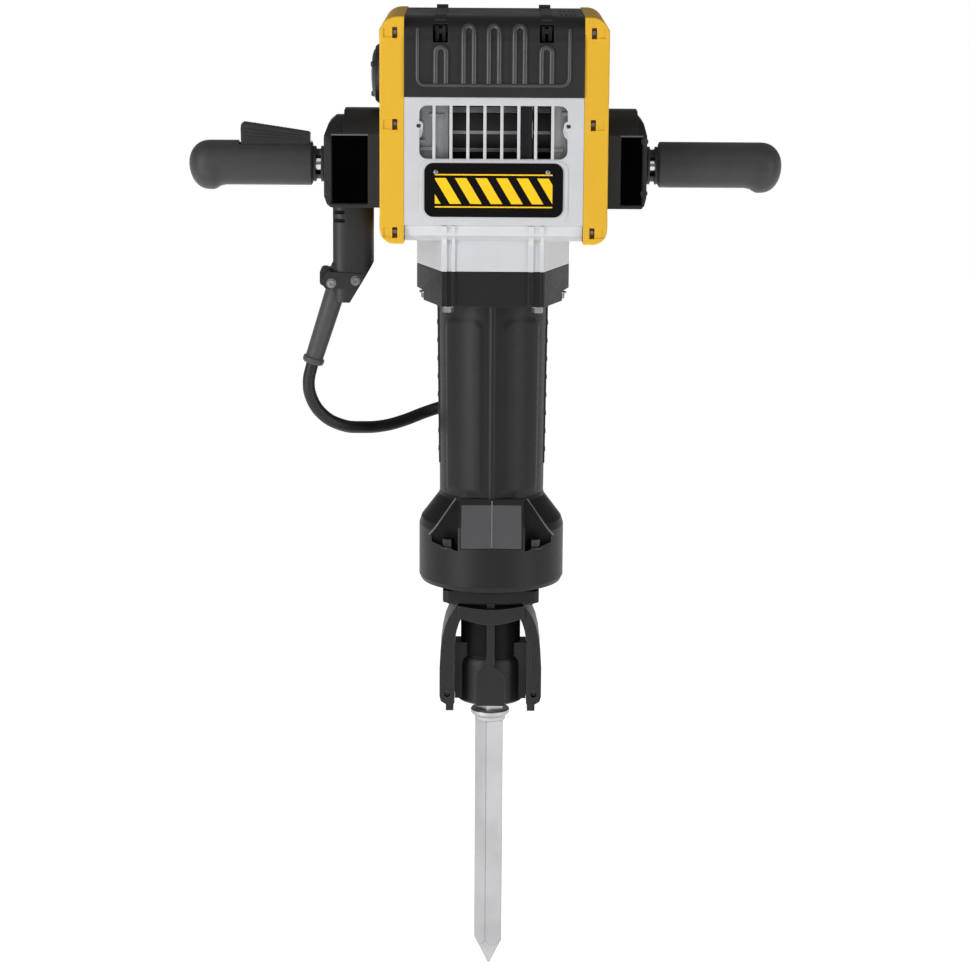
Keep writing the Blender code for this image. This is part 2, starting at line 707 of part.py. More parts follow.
def chisel():
    foot = SHANK_FOOT - CHISEL_COLLAR_HEIGHT
    tip = SHANK_FOOT - (CHISEL_LENGTH - SHANK_LENGTH)
    bar = sheet("chisel", [hexagon(HEX_FLATS)], tip, SHANK_TOP, look="forged")
    collar_round = CHISEL_COLLAR_RADIUS
    collar = turned(
        "chisel_collar",
        [
            (0, SHANK_FOOT),
            (collar_round - 0.001, SHANK_FOOT),
            (collar_round, SHANK_FOOT - 0.001),
            (collar_round, SHANK_FOOT - 0.006),
            (collar_round * 0.72, foot),
            (0, foot),
        ],
    )
    join(bar, collar)
    corner = HEX_FLATS / math.sqrt(3)
    tall = MOIL_LENGTH * 1.9
    grinder = turned(
        "moil_grinder",
        [
            (corner * 2, tip + tall),
            (corner * 2, tip - 0.01),
            (0.0012, tip - 0.01),
            (0.0012, tip),
            (corner * 1.02, tip + MOIL_LENGTH),
            (corner * 1.06, tip + tall),
        ],
        ring=True,
    )
    notch = box(
        "shank_notch",
        (-corner * 2, PIN_BEHIND - PIN_RADIUS - RUN, PIN_HEIGHT - PIN_RADIUS - RUN - CHISEL_TRAVEL),
        (corner * 2, corner * 2, PIN_HEIGHT + PIN_RADIUS + RUN),
    )
    cut(bar, grinder, notch)
    beat = turned(
        "beat_piece",
        [
            (0, BEAT_TOP),
            (BEAT_HEAD_RADIUS - 0.002, BEAT_TOP),
            (BEAT_HEAD_RADIUS, BEAT_TOP - 0.002),
            (BEAT_HEAD_RADIUS, BEAT_TOP - 0.020),
            (BEAT_RADIUS, BEAT_TOP - 0.024),
            (BEAT_RADIUS, BEAT_FOOT + 0.002),
            (BEAT_RADIUS - 0.002, BEAT_FOOT),
            (0, BEAT_FOOT),
        ],
        look="steel",
        steps=SMALL_ROUND,
    )
    return bar, beat


# ---- striking drive ----
def striker():
    fit = BORE_RADIUS - RUN
    rod("ram", fit, RAM_BOTTOM, RAM_BOTTOM + RAM_LENGTH, look="steel", steps=ROUND, edge=0.003)
    top = WRIST_HEIGHT + 0.012
    crown = top - PISTON_HEIGHT
    cup = fit - 0.0075
    piston = turned(
        "piston",
        [(fit, top), (fit, crown), (0, crown), (0, top - 0.034), (cup, top - 0.034), (cup, top)],
        look="steel",
        ring=False,
    )
    lip = piston.data
    lip.edges.add(1)
    lip.edges[-1].vertices = (len(lip.vertices) - 1, 0)
    wrist_hole = rod("wrist_hole", WRIST_RADIUS + GAP, -0.05, 0.05, (0, 0, WRIST_HEIGHT), "X")
    cut(piston, wrist_hole)
    rod("wrist_pin", WRIST_RADIUS, -fit + 0.004, fit - 0.004, (0, 0, WRIST_HEIGHT), "X", "steel", edge=0.001)


def connecting_rod():
    small, big = WRIST_RADIUS + 0.006, CRANKPIN_RADIUS + 0.008
    lean = math.asin((big - small) / ROD_LENGTH)
    foot = circle(small, (0, 0), 9, math.pi - lean, math.pi + 2 * lean)
    head = circle(big, (0, ROD_LENGTH), 11, 2 * math.pi - (-lean) - 2 * lean - 2 * math.pi, math.pi + 2 * lean)
    outline = foot + head
    holes = [
        circle(WRIST_RADIUS + RUN, (0, 0)),
        circle(CRANKPIN_RADIUS + RUN, (0, ROD_LENGTH)),
    ]
    sheet(
        "connecting_rod", [outline] + holes, -ROD_HALF_WIDTH, ROD_HALF_WIDTH, "X",
        (0, 0, WRIST_HEIGHT), "steel",
    )


def involute(angle):
    return math.tan(angle) - angle


def gear_outline(teeth, phase):
    """Stub involute teeth; one tooth is centred on the phase angle."""
    pitch_r = GEAR_MODULE * teeth / 2
    base_r = pitch_r * math.cos(PRESSURE_ANGLE)
    root_r, tip_r = pitch_r - 1.05 * GEAR_MODULE, pitch_r + 0.8 * GEAR_MODULE
    half = math.pi / (2 * teeth) - BACKLASH / (2 * pitch_r)
    points = []
    for i in range(teeth):
        middle = phase + 2 * math.pi * i / teeth
        flank = []
        for radius in (root_r, pitch_r, tip_r):
            at = max(radius, base_r)
            width = half + involute(PRESSURE_ANGLE) - involute(math.acos(min(base_r / at, 1.0)))
            flank.append((radius, width))
        for radius, width in flank:
            points.append((radius, middle - width))
        for radius, width in reversed(flank):
            points.append((radius, middle + width))
    return [(r * math.cos(a), r * math.sin(a)) for r, a in points]


def drive_gears():
    """Both pairs are in mesh as they stand: a tooth of one points along the centre line into a gap."""
    first_line = math.atan2(COUNTER_Z - MOTOR_AXIS, COUNTER_Y)
    second_line = math.atan2(CRANK_AXIS - COUNTER_Z, -COUNTER_Y)
    plate_end = BEARING_PLATE_X + BEARING_PLATE
    second_x = (plate_end + 0.003, plate_end + 0.015)
    first_x = (second_x[1] + 0.004, second_x[1] + 0.013)
    motor = (0, 0, MOTOR_AXIS)
    counter = (0, COUNTER_Y, COUNTER_Z)
    crank = (0, 0, CRANK_AXIS)
    sheet(
        "motor_pinion",
        [gear_outline(FIRST_PINION, first_line), circle(SHAFT_RADIUS + GAP)],
        first_x[0], first_x[1], "X", motor, "steel",
    )
    gap_turn = math.pi / FIRST_GEAR
    sheet(
        "counter_gear",
        [gear_outline(FIRST_GEAR, first_line + math.pi + gap_turn), circle(SHAFT_RADIUS + GAP)],
        first_x[0], first_x[1], "X", counter, "steel",
    )
    sheet(
        "counter_pinion",
        [gear_outline(SECOND_PINION, second_line), circle(SHAFT_RADIUS + GAP)],
        second_x[0], second_x[1], "X", counter, "steel",
    )
    gap_turn = math.pi / SECOND_GEAR
    sheet(
        "crank_gear",
        [gear_outline(SECOND_GEAR, second_line + math.pi + gap_turn), circle(0.0120 + GAP)],
        second_x[0], second_x[1], "X", crank, "steel",
    )
    rod(
        "counter_shaft", SHAFT_RADIUS, BEARING_PLATE_X - 0.004, first_x[1] + 0.004, counter, "X", "steel",
        edge=0.001,
    )
    return second_x, first_x


def crank_and_plate(second_x, first_x):
    crank = (0, 0, CRANK_AXIS)
    web = (ROD_HALF_WIDTH + 0.004, ROD_HALF_WIDTH + 0.014)
    profile = [
        (0, second_x[1] + 0.003),
        (0.0120, second_x[1] + 0.003),
        (0.0120, web[1]),
        (0.0400, web[1]),
        (0.0400, web[0]),
        (0, web[0]),
    ]
    shaft = turned("crankshaft", profile, crank, "X", "steel")
    stub = rod(
        "crank_pin", CRANKPIN_RADIUS, ROD_HALF_WIDTH + 0.001, web[0] + 0.004,
        (0, 0, CRANK_AXIS + CRANK_THROW), "X",
    )
    join(shaft, stub)
    inner = HEAD_DEPTH / 2 - CASE_WALL - GAP
    outline = [
        (-inner, HEAD_BOTTOM + CASE_WALL + GAP),
        (inner, HEAD_BOTTOM + CASE_WALL + GAP),
        (inner, HOOD_BOTTOM - 0.004),
        (0.045, MOTOR_AXIS + 0.030),
        (-0.045, MOTOR_AXIS + 0.030),
        (-inner, HOOD_BOTTOM - 0.004),
    ]
    crank_race, counter_race, motor_race = 0.0240, 0.0140, 0.0160
    holes = [
        circle(crank_race + GAP, (0, CRANK_AXIS)),
        circle(counter_race + GAP, (COUNTER_Y, COUNTER_Z)),
        circle(motor_race + GAP, (0, MOTOR_AXIS)),
    ]
    low, high = BEARING_PLATE_X, BEARING_PLATE_X + BEARING_PLATE
    sheet("bearing_plate", [outline] + holes, low, high, "X", look="silver")
    ring("crank_bearing", crank_race, 0.0120 + GAP, low, high, crank, "X", "steel")
    ring("counter_bearing", counter_race, SHAFT_RADIUS + GAP, low, high, (0, COUNTER_Y, COUNTER_Z), "X", "steel")
    ring("motor_bearing", motor_race, SHAFT_RADIUS + GAP, low, high, (0, 0, MOTOR_AXIS), "X", "steel")


def motor(first_x):
    at = (0, 0, MOTOR_AXIS)
    hole = SHAFT_RADIUS + GAP
    tail = -CASE_HALF + 0.006
    rod("armature_shaft", SHAFT_RADIUS, tail, first_x[1] + 0.004, at, "X", "steel", edge=0.001)
    ring("armature_core", ARMATURE_RADIUS, hole, -0.046, 0.000, at, "X", "copper")
    ring("commutator", 0.0180, hole, -0.070, -0.052, at, "X", "copper")
    ring("fan", 0.0400, hole, 0.008, 0.020, at, "X", "black")
    ring("field_stator", STATOR_RADIUS, ARMATURE_RADIUS + RUN, -0.045, -0.001, at, "X", "barrel", ROUND)
    arc = circle(SHROUD_RADIUS, (0, SHROUD_MIDDLE), 11, math.radians(148), math.radians(64))
    back = circle(SHROUD_RADIUS - SHROUD_WALL, (0, SHROUD_MIDDLE), 11, math.radians(212), -math.radians(64))
    sheet("air_shroud", [arc + back], -0.050, BEARING_PLATE_X - GAP, "X", look="black")
    for side in (-1, 1):
        name = "front_brush" if side < 0 else "rear_brush"
        ends = sorted((side * (0.0180 + RUN), side * 0.0400))
        box(
            name,
            (-0.067, ends[0], MOTOR_AXIS - 0.006),
            (-0.055, ends[1], MOTOR_AXIS + 0.006),
            "black",
        )


# ---- handles ----
def bracket_outline():
    deep, top, foot = BRACKET_HALF_DEPTH, BRACKET_TOP, BRACKET_BOTTOM
    half = [(deep, foot), (deep, top - 0.0235), (deep * 0.80, top - 0.0110), (deep * 0.35, top)]
    return half + [(-y, z) for y, z in reversed(half)]


def bracket(side, name, width):
    """A clevis housing: hollow for the arm's eye, with a bore in its outer wall for the arm."""
    inner = HEAD_WIDTH / 2 + GAP
    ends = sorted((side * inner, side * (inner + width)))
    body = sheet(name + "_bracket", [bracket_outline()], ends[0], ends[1], "X", look="black")
    bevel(body, 0.0045, 2)
    pivot = side * (inner + PIVOT_INSET)
    room = EYE_RADIUS + 0.0020
    cut(body, box(name + "_room", (pivot - room, -0.027, -0.026), (pivot + room, 0.027, 0.026)))
    swing = ARM_RADIUS + (inner + width - abs(pivot)) * math.tan(HANDLE_SWING) + 0.0015
    cut(body, rod(name + "_bore", swing, min(pivot, side * 0.3), max(pivot, side * 0.3), axis="X"))
    pin_hole = rod(name + "_pin_hole", PIVOT_RADIUS + GAP, -0.2, 0.2, (pivot, 0, 0), "Y")
    cut(body, pin_hole)
    deep = BRACKET_HALF_DEPTH - 0.006
    rod(name + "_pivot_pin", PIVOT_RADIUS, -deep, deep, (pivot, 0, 0), "Y", "steel", edge=0.001)
    return body, pivot, inner + width


def handle(side, name, width, radius):
    """Arm, neck sleeve and grip on one side; all three swing together about the pivot pin."""
    body, pivot, face = bracket(side, name, width)
    neck_start = face + 0.0016
    grip_start = neck_start + NECK_LENGTH + GAP
    grip_end = grip_start + GRIP_LENGTH
    ends = sorted((pivot, side * (grip_end - 0.012)))
    arm = rod(name + "_arm", ARM_RADIUS, ends[0], ends[1], (0, 0, 0), "X", "steel", edge=0.001)
    eye = rod(name + "_eye", EYE_RADIUS, -0.0255, 0.0255, (pivot, 0, 0), "Y")
    join(arm, eye)
    cut(arm, rod(name + "_eye_hole", PIVOT_RADIUS + GAP, -0.1, 0.1, (pivot, 0, 0), "Y"))
    ends = sorted((side * neck_start, side * (neck_start + NECK_LENGTH)))
    neck = ring(name + "_neck", radius - 0.0035, ARM_RADIUS + GAP, ends[0], ends[1], axis="X", look="steel")
    bulb = radius + GRIP_BULB
    bore = ARM_RADIUS + GAP
    profile = [
        (0, grip_end),
        (bulb * 0.55, grip_end - 0.0010),
        (bulb * 0.86, grip_end - 0.0050),
        (bulb, grip_end - 0.0130),
        (bulb, grip_end - 0.0230),
        (radius, grip_end - 0.0360),
        (radius, grip_start),
        (bore, grip_start),
        (bore, grip_end - 0.0115),
        (0, grip_end - 0.0115),
    ]
    grip = turned(name + "_grip", profile, axis="X", look="rubber")
    grip.rotation_euler = (0, side * math.pi / 2, 0)
    hang((arm, neck, grip), name + "_handle_pivot", (pivot, 0, 0))
    return body, grip, grip_start


def switch_lever(grip, grip_start):
    """The paddle over the left grip sinks into a slot in the grip when it is squeezed."""
    hinge_x = -(grip_start + 0.0060)
    floor = ARM_RADIUS + GAP + 0.0025
    slot = box(
        "lever_slot",
        (hinge_x - LEVER_LENGTH - 0.0055, -LEVER_WIDTH / 2 - 0.0010, floor),
        (hinge_x + 0.0045, LEVER_WIDTH / 2 + 0.0010, LEFT_GRIP_RADIUS * 2),
    )
    cut(grip, slot)
    top = LEFT_GRIP_RADIUS
    low = floor + LEVER_LENGTH * math.tan(math.radians(5.0)) + 0.0010
    outline = [
        (0.0030, floor + 0.0030),
        (0.0030, top + LEVER_RISE - 0.0105),
        (-0.0080, top + LEVER_RISE - 0.0085),
        (-LEVER_LENGTH, top + LEVER_RISE),
        (-LEVER_LENGTH - 0.0030, top + LEVER_RISE - 0.0030),
        (-LEVER_LENGTH - 0.0030, low),
        (-0.0060, floor + 0.0030),
    ]
    lever = sheet(
        "switch_lever", [outline], -LEVER_WIDTH / 2, LEVER_WIDTH / 2, "Y", (hinge_x, 0, 0), "black"
    )
    bevel(lever, 0.0012, 1)
    hang((lever,), "lever_pivot", (hinge_x, 0, floor + 0.0060))


# ---- cord ----
def cord_housing():
    inner = -(HEAD_WIDTH / 2 + 0.0093)
    outer = inner - CORD_HOUSING_WIDTH
    deep = CORD_HOUSING_DEPTH / 2
    top = BRACKET_BOTTOM - GAP
    outline = [
        (outer, top),
        (inner, top),
        (inner, top - 0.0630),
        (inner - 0.0255, top - 0.1055),
        (inner - 0.0375, top - 0.1055),
        (outer - 0.0040, top - 0.0870),
        (outer - 0.0040, top - 0.0700),
        (outer, top - 0.0620),
    ]
    body = sheet("cord_housing", [outline], -deep, deep, "Y", look="black")
    bevel(body, 0.0030, 2)
    low = Vector((outer + 0.0028, 0.0, top - 0.0925))
    down = Vector((-math.sin(BOOT_LEAN), 0.0, -math.cos(BOOT_LEAN)))
    lean = (0.0, math.pi + BOOT_LEAN, 0.0)
    boot_bore = rod("boot_bore", BOOT_RADIUS + GAP, -0.022, 0.040, low)
    boot_bore.rotation_euler = lean
    boot = turned(
        "strain_relief",
        [
            (0, BOOT_LENGTH),
            (CORD_DIAMETER / 2 + 0.0035, BOOT_LENGTH),
            (CORD_DIAMETER / 2 + 0.0050, BOOT_LENGTH - 0.002),
            (CORD_DIAMETER / 2 + 0.0050, BOOT_LENGTH - 0.006),
            (CORD_DIAMETER / 2 + 0.0030, BOOT_LENGTH - 0.008),
            (BOOT_RADIUS, 0.004),
            (BOOT_RADIUS, -0.020),
            (0, -0.020),
        ],
        low,
        look="rubber",
        steps=SMALL_ROUND,
    )
    boot.rotation_euler = lean
    clamp_low = (outer - 0.0145, -0.0150, top - 0.0880)
    clamp = box("cord_clamp", clamp_low, (outer - 0.0043, 0.0150, top - 0.0700), "black", 0.0025, 2)
    for piece in (body, clamp):
        cut(piece, boot_bore)
    return low + down * BOOT_LENGTH, down


ROUTE = (
    (-0.2004, 0.0006, -0.2389),
    (-0.1976, 0.0030, -0.2568),
    (-0.1858, 0.0085, -0.2762),
    (-0.1655, 0.0206, -0.2901),
    (-0.1432, 0.0415, -0.2965),
    (-0.1202, 0.0589, -0.2980),
    (-0.0981, 0.0745, -0.2947),
    (-0.0773, 0.0867, -0.2886),
)


def smooth(points, spacing):
    """Points read at even steps from a Catmull-Rom curve through the route's own points."""
    points = [Vector(p) for p in points]
    ends = [points[0] * 2 - points[1]] + points + [points[-1] * 2 - points[-2]]
    fine = []
    for a, b, c, d in zip(ends, ends[1:], ends[2:], ends[3:]):
        for i in range(12):
            t = i / 12
            fine.append(0.5 * (2 * b + (c - a) * t + (2 * a - 5 * b + 4 * c - d) * t * t
                               + (3 * b - a - 3 * c + d) * t**3))
    fine.append(points[-1])
    kept, run = [fine[0]], 0.0
    for before, after in zip(fine, fine[1:]):
        run += (after - before).length
        if run >= spacing:
            kept.append(after)
            run = 0.0
    if (kept[-1] - fine[-1]).length < spacing * 0.5:
        kept.pop()
    return kept + [fine[-1]]


def cord(exit_point, down):
    start = exit_point + down * GAP
    last = Vector((-HANK_WIDTH / 2 - GAP, HANK_FRONT + CORD_DIAMETER / 2 + 0.0010, -0.2800))
    straight = CORD_DIAMETER * 0.8
    route = [start + down * straight] + list(ROUTE) + [last - Vector((straight, 0.0, 0.0))]
    line = bpy.data.curves.new("cord_lead", "CURVE")
    line.dimensions = "3D"
    line.bevel_depth = CORD_DIAMETER / 2
    line.bevel_resolution = 3
    line.use_fill_caps = True
    points = [start] + smooth(route, CORD_DIAMETER * 1.6) + [last]
    run = line.splines.new("POLY")
    run.points.add(len(points) - 1)
    for point, where in zip(run.points, points):
        point.co = (*where, 1.0)
    lead = bpy.data.objects.new("cord_lead", line)
    line.materials.append(material_of("rubber"))
    PARTS.objects.link(lead)
    round_end = HANK_WIDTH / 2
    half = HANK_LENGTH / 2 - round_end
    outline = circle(round_end, (0, HANK_MIDDLE + half), 13, 0, math.pi)
    outline += circle(round_end, (0, HANK_MIDDLE - half), 13, math.pi, math.pi)
    depth = CORD_DIAMETER + (HANK_LAYERS - 1) * HANK_TURN + 0.0003
    back = HANK_FRONT + depth
    sheet("cord_hank", [outline], HANK_FRONT, back, "Y", look="rubber")
    strap = 0.0016
    wide, deep = HANK_WIDTH + 4 * GAP, depth + 4 * GAP
    middle = (0.0, HANK_FRONT + depth / 2)
    sheet(
        "cord_tie",
        [
            rounded_box(wide + 2 * strap, deep + 2 * strap, 0.004, middle, 4),
            rounded_box(wide, deep, 0.0002, middle, 2),
        ],
        HANK_MIDDLE - 0.009, HANK_MIDDLE + 0.009, look="rubber",
    )
    hook_face = TUBE_TOP_RADIUS + 0.0008
    hook = HANK_FRONT - strap - 3 * GAP
    box("cord_hook", (-0.012, hook_face, HANK_MIDDLE - 0.014), (0.012, hook, HANK_MIDDLE + 0.014), "black", 0.002, 1)
    run_x = CORD_DIAMETER / 2 - HANK_WIDTH / 2
    run_y = back - CORD_DIAMETER / 2
    round_foot = math.sqrt(round_end**2 - (abs(run_x) - PLUG_TAIL_RADIUS)**2)
    plug_top = HANK_MIDDLE - half - round_foot - 2 * GAP
    turned(
        "plug",
        [
            (0, plug_top),
            (PLUG_TAIL_RADIUS * 0.85, plug_top),
            (PLUG_TAIL_RADIUS, plug_top - 0.018),
            (PLUG_RADIUS, plug_top - 0.030),
            (PLUG_RADIUS, plug_top - PLUG_LENGTH),
            (0, plug_top - PLUG_LENGTH),
        ],
        (run_x, run_y, 0),
        look="rubber",
        steps=SMALL_ROUND,
    )


crankcase()
left_cover()
right_cover()
hood()
end_cap()
name_plate()
barrel()
bell()
nose()
retainer()
chisel()
striker()
connecting_rod()
pair_x, first_pair_x = drive_gears()
crank_and_plate(pair_x, first_pair_x)
motor(first_pair_x)
handle(1, "right", RIGHT_BRACKET, RIGHT_GRIP_RADIUS)
left_body, left_grip, left_start = handle(-1, "left", LEFT_BRACKET, LEFT_GRIP_RADIUS)
switch_lever(left_grip, left_start)
boot_end, boot_way = cord_housing()
cord(boot_end, boot_way)
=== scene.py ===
# %% [markdown]
# # An electric demolition hammer, dressed round its CAD
#
# The CAD already holds every working part in its place: the frame. This lesson gives the frame its
# looks. Each cell makes one piece of the tool as a maker would describe it (the hood, the casting,
# the barrel, the cord) and fits it over the plain CAD part that it stands for. Everything is in
# metres, the left handle is towards -X and the front of the tool faces -Y.

# %% Load the frame
import math

import bmesh
import bpy
from mathutils import Matrix, Vector


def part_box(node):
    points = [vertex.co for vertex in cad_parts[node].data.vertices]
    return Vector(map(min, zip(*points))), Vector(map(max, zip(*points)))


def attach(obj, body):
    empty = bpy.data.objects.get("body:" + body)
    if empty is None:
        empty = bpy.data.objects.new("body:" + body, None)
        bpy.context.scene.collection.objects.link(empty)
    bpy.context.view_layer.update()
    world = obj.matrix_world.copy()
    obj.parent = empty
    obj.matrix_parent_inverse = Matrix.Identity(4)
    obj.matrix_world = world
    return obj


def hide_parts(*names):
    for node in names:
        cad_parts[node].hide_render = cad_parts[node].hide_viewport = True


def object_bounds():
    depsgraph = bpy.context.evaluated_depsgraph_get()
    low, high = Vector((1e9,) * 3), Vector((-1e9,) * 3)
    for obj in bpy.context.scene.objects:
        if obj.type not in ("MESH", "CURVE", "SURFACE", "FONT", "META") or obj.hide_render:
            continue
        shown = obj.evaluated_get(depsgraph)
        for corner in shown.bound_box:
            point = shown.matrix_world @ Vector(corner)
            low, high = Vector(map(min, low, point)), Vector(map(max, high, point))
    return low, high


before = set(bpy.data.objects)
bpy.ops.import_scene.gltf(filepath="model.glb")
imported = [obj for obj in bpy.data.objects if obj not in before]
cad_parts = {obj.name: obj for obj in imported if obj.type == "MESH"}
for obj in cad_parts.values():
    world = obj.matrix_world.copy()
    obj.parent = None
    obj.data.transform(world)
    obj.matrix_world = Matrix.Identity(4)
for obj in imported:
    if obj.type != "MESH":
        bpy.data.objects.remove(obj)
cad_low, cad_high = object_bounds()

print("frame", len(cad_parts), "parts,", [round(v, 3) for v in cad_high - cad_low], "m")

# %% [markdown]
# ## Small tools
#
# Two things are needed all the time: a colour read from a hex code, and a shader node with its
# settings and links. Shader sockets expect linear light, and a hex code is sRGB, so the colour is
# converted once, here. Four short functions wrap the nodes that every finish uses.

# %% Colour and node helpers
def linear(code):
    """An sRGB hex code as the linear colour that a shader socket expects."""
    parts = [int(code[i:i + 2], 16) / 255 for i in (1, 3, 5)]
    return tuple(c / 12.92 if c <= 0.04045 else ((c + 0.055) / 1.055) ** 2.4 for c in parts) + (1.0,)


def add(tree, kind, inputs=(), **settings):
    """Adds one node. inputs maps each socket to a value, or to the output that feeds it."""
    made = tree.nodes.new(kind)
    for name, value in settings.items():
        setattr(made, name, value)
    for socket, value in dict(inputs).items():
        if isinstance(value, bpy.types.NodeSocket):
            tree.links.new(value, made.inputs[socket])
        else:
            made.inputs[socket].default_value = value
    return made


def noise(tree, at, size, detail):
    """A noise whose features are about this many millimetres across."""
    settings = {"Vector": at, "Scale": 1000.0 / size, "Detail": detail}
    return add(tree, "ShaderNodeTexNoise", settings).outputs[0]


def remap(tree, value, low, high, start, end):
    """Stretches the range low to high over the range start to end."""
    return add(tree, "ShaderNodeMapRange", {0: value, 1: low, 2: high, 3: start, 4: end}).outputs[0]


def blend(tree, share, first, second):
    """A colour between two, each a hex code or another node's colour."""
    ends = [linear(c) if isinstance(c, str) else c for c in (first, second)]
    return add(tree, "ShaderNodeMix", {0: share, 6: ends[0], 7: ends[1]}, data_type="RGBA").outputs[2]


def reckon(tree, operation, *values):
    """One sum on one to three values."""
    return add(tree, "ShaderNodeMath", dict(enumerate(values)), operation=operation).outputs[0]


print("yellow in linear light", [round(c, 3) for c in linear("#D1A322")])

# %% [markdown]
# ## Finishes
#
# The tool has five families of surface: moulded nylon (the yellow covers and the black hood and
# handles), castings under a silver or a black coat, bare steel, soft rubber, and print on the plate.
# Each family is one recipe with its own colours, so two pieces of one family differ only as two
# batches would. In all of them a slow noise shifts the colour and the gloss a little, as handling
# and mould flow do, and a fine noise roughens the surface. The real grain of moulded nylon is near
# 0.2 mm, too fine to show here, so it is drawn at 0.9 mm and kept shallow.

# %% [markdown]
# Every finish starts from the same empty material, reads its pattern from the object's own
# coordinates, and ends by feeding colour, roughness and relief to one shader.

# %% What every finish shares
def blank(name):
    """A material with its shader and its object coordinates, in metres."""
    stuff = bpy.data.materials.new(name)
    stuff.use_nodes = True
    tree = stuff.node_tree
    tree.nodes.clear()
    shader = add(tree, "ShaderNodeBsdfPrincipled")
    add(tree, "ShaderNodeOutputMaterial", {"Surface": shader.outputs[0]})
    return stuff, tree, shader, add(tree, "ShaderNodeTexCoord").outputs["Object"]


def edge_mask(tree, radius, full, most):
    """Rises from 0 to `most` where the surface turns within this radius, as on an edge."""
    bent = add(tree, "ShaderNodeBevel", {"Radius": radius}, samples=4)
    flat = add(tree, "ShaderNodeNewGeometry").outputs["Normal"]
    agree = add(tree, "ShaderNodeVectorMath", {0: bent.outputs[0], 1: flat}, operation="DOT_PRODUCT")
    return remap(tree, agree.outputs["Value"], 0.995, full, 0.0, most)


def dress(stuff, shader, colour, rough, relief, values):
    """Feeds colour, roughness and relief (height, distance, strength) to the shader, and the plain values."""
    tree = stuff.node_tree
    bump = add(tree, "ShaderNodeBump", dict(zip(("Height", "Distance", "Strength"), relief)))
    for socket, value in (("Base Color", colour), ("Roughness", rough), ("Normal", bump.outputs[0])):
        tree.links.new(value, shader.inputs[socket])
    for socket, value in values.items():
        shader.inputs[socket].default_value = value
    return stuff


# %% [markdown]
# ### Moulded nylon
#
# Glass-filled nylon 6 is the usual shell of a breaker. It leaves the mould with a fine spark-eroded
# grain, which the eye reads as a satin sheen with soft highlights. A second, much larger noise gives
# the faint clouding of glass fibres near the surface. A bevel-normal mask lightens the convex edges
# slightly.

# %% Moulded nylon recipe
def moulded_nylon(name, colour, cloud, edge, rough, gloss=0.3):
    stuff, tree, shader, at = blank(name)
    slow, grain = noise(tree, at, 38, 3.0), noise(tree, at, 0.9, 2.0)
    tone = blend(tree, edge_mask(tree, 0.0011, 0.8, 0.55), blend(tree, slow, colour, cloud), edge)
    sheen = remap(tree, slow, 0.3, 0.7, rough - 0.05, rough + 0.06)
    values = {"IOR": 1.53, "Specular IOR Level": gloss}
    return dress(stuff, shader, tone, sheen, (grain, 0.0004, 0.1), values)


# A warm industrial yellow, satin, with paler edges.
yellow_nylon = moulded_nylon("yellow_glass_filled_nylon", "#D1A322", "#CA9C1F", "#E2B64A", 0.42)
# A soft charcoal black for the hood; its ribs are a lighter copy of it, a painted highlight along them, and
# shine a little.
hood_nylon = moulded_nylon("black_glass_filled_nylon_hood", "#181819", "#1F1F20", "#3A3A3C", 0.38)
highlight_rib_nylon = moulded_nylon("polished_nylon_ribs", "#2E2E2F", "#363637", "#565658", 0.34, gloss=0.5)
# The brackets and the lever: duller than the hood.
handle_nylon = moulded_nylon("black_glass_filled_nylon_handles", "#1B1B1C", "#222223", "#343436", 0.44)
# The floors of the brackets' pockets: a near-black matt sheet of painted shade, so that they look like holes.
pocket_shade_nylon = moulded_nylon("black_matt_nylon_pads", "#020202", "#040404", "#0A0A0A", 0.6, gloss=0.0)
print("moulded", yellow_nylon.name, hood_nylon.name, handle_nylon.name, pocket_shade_nylon.name)

# %% [markdown]
# ### Coated castings
#
# The gear case and the neck are die-cast aluminium sprayed silver; the collar, tube and bell are
# castings in a black coat. Paint over a casting keeps the casting's gentle orange peel (about 3 mm)
# under a skin that is smooth to the touch. The silver paint holds aluminium flake, so it is partly
# metallic; the black one isn't. Where the coat thins on edges the metal below lightens it.

# %% Coated casting recipe
def coated_casting(name, colour, cloud, edge, rough, metallic=0.0, peel=3.2, depth=0.1, gloss=0.3):
    stuff, tree, shader, at = blank(name)
    slow, skin, grit = noise(tree, at, 26, 4.0), noise(tree, at, peel, 3.0), noise(tree, at, 0.8, 2.0)
    thin = reckon(tree, "MULTIPLY", edge_mask(tree, 0.0014, 0.78, 1.0), skin)
    tone = blend(tree, reckon(tree, "MULTIPLY", thin, 0.5), blend(tree, slow, colour, cloud), edge)
    relief = reckon(tree, "MULTIPLY_ADD", grit, 0.35, skin)
    sheen = remap(tree, skin, 0.3, 0.7, rough - 0.05, rough + 0.05)
    values = {"Metallic": metallic, "Specular IOR Level": gloss}
    return dress(stuff, shader, tone, sheen, (relief, 0.0006, depth), values)


# Pale, faintly metallic silver for the gear case, and the grey unpainted casting behind its grille.
silver_coat = coated_casting("silver_sprayed_cast_aluminium", "#C6C7CA", "#BBBCBF", "#E4E4E6", 0.4,
                             metallic=0.3, gloss=0.4)
rough_casting = coated_casting("bare_sand_cast_aluminium", "#A2A3A5", "#8A8B8D", "#C9C9CB", 0.55,
                               metallic=0.6, depth=0.35)
# The deep black of the barrel; its smoother boss faces, lighter as painted light from above; and its edges
# and rims in a lighter copy as painted highlight.
black_coat = coated_casting("black_coated_cast_iron", "#0E0E0F", "#151516", "#4C4C4E", 0.44, gloss=0.26)
lit_boss_coat = coated_casting("smooth_boss_of_black_coat", "#434345", "#4C4C4E", "#707074", 0.42)
highlight_edge_coat = coated_casting("rubbed_edge_of_black_coat", "#505051", "#5C5C5D", "#8C8C8E", 0.36, gloss=0.6)
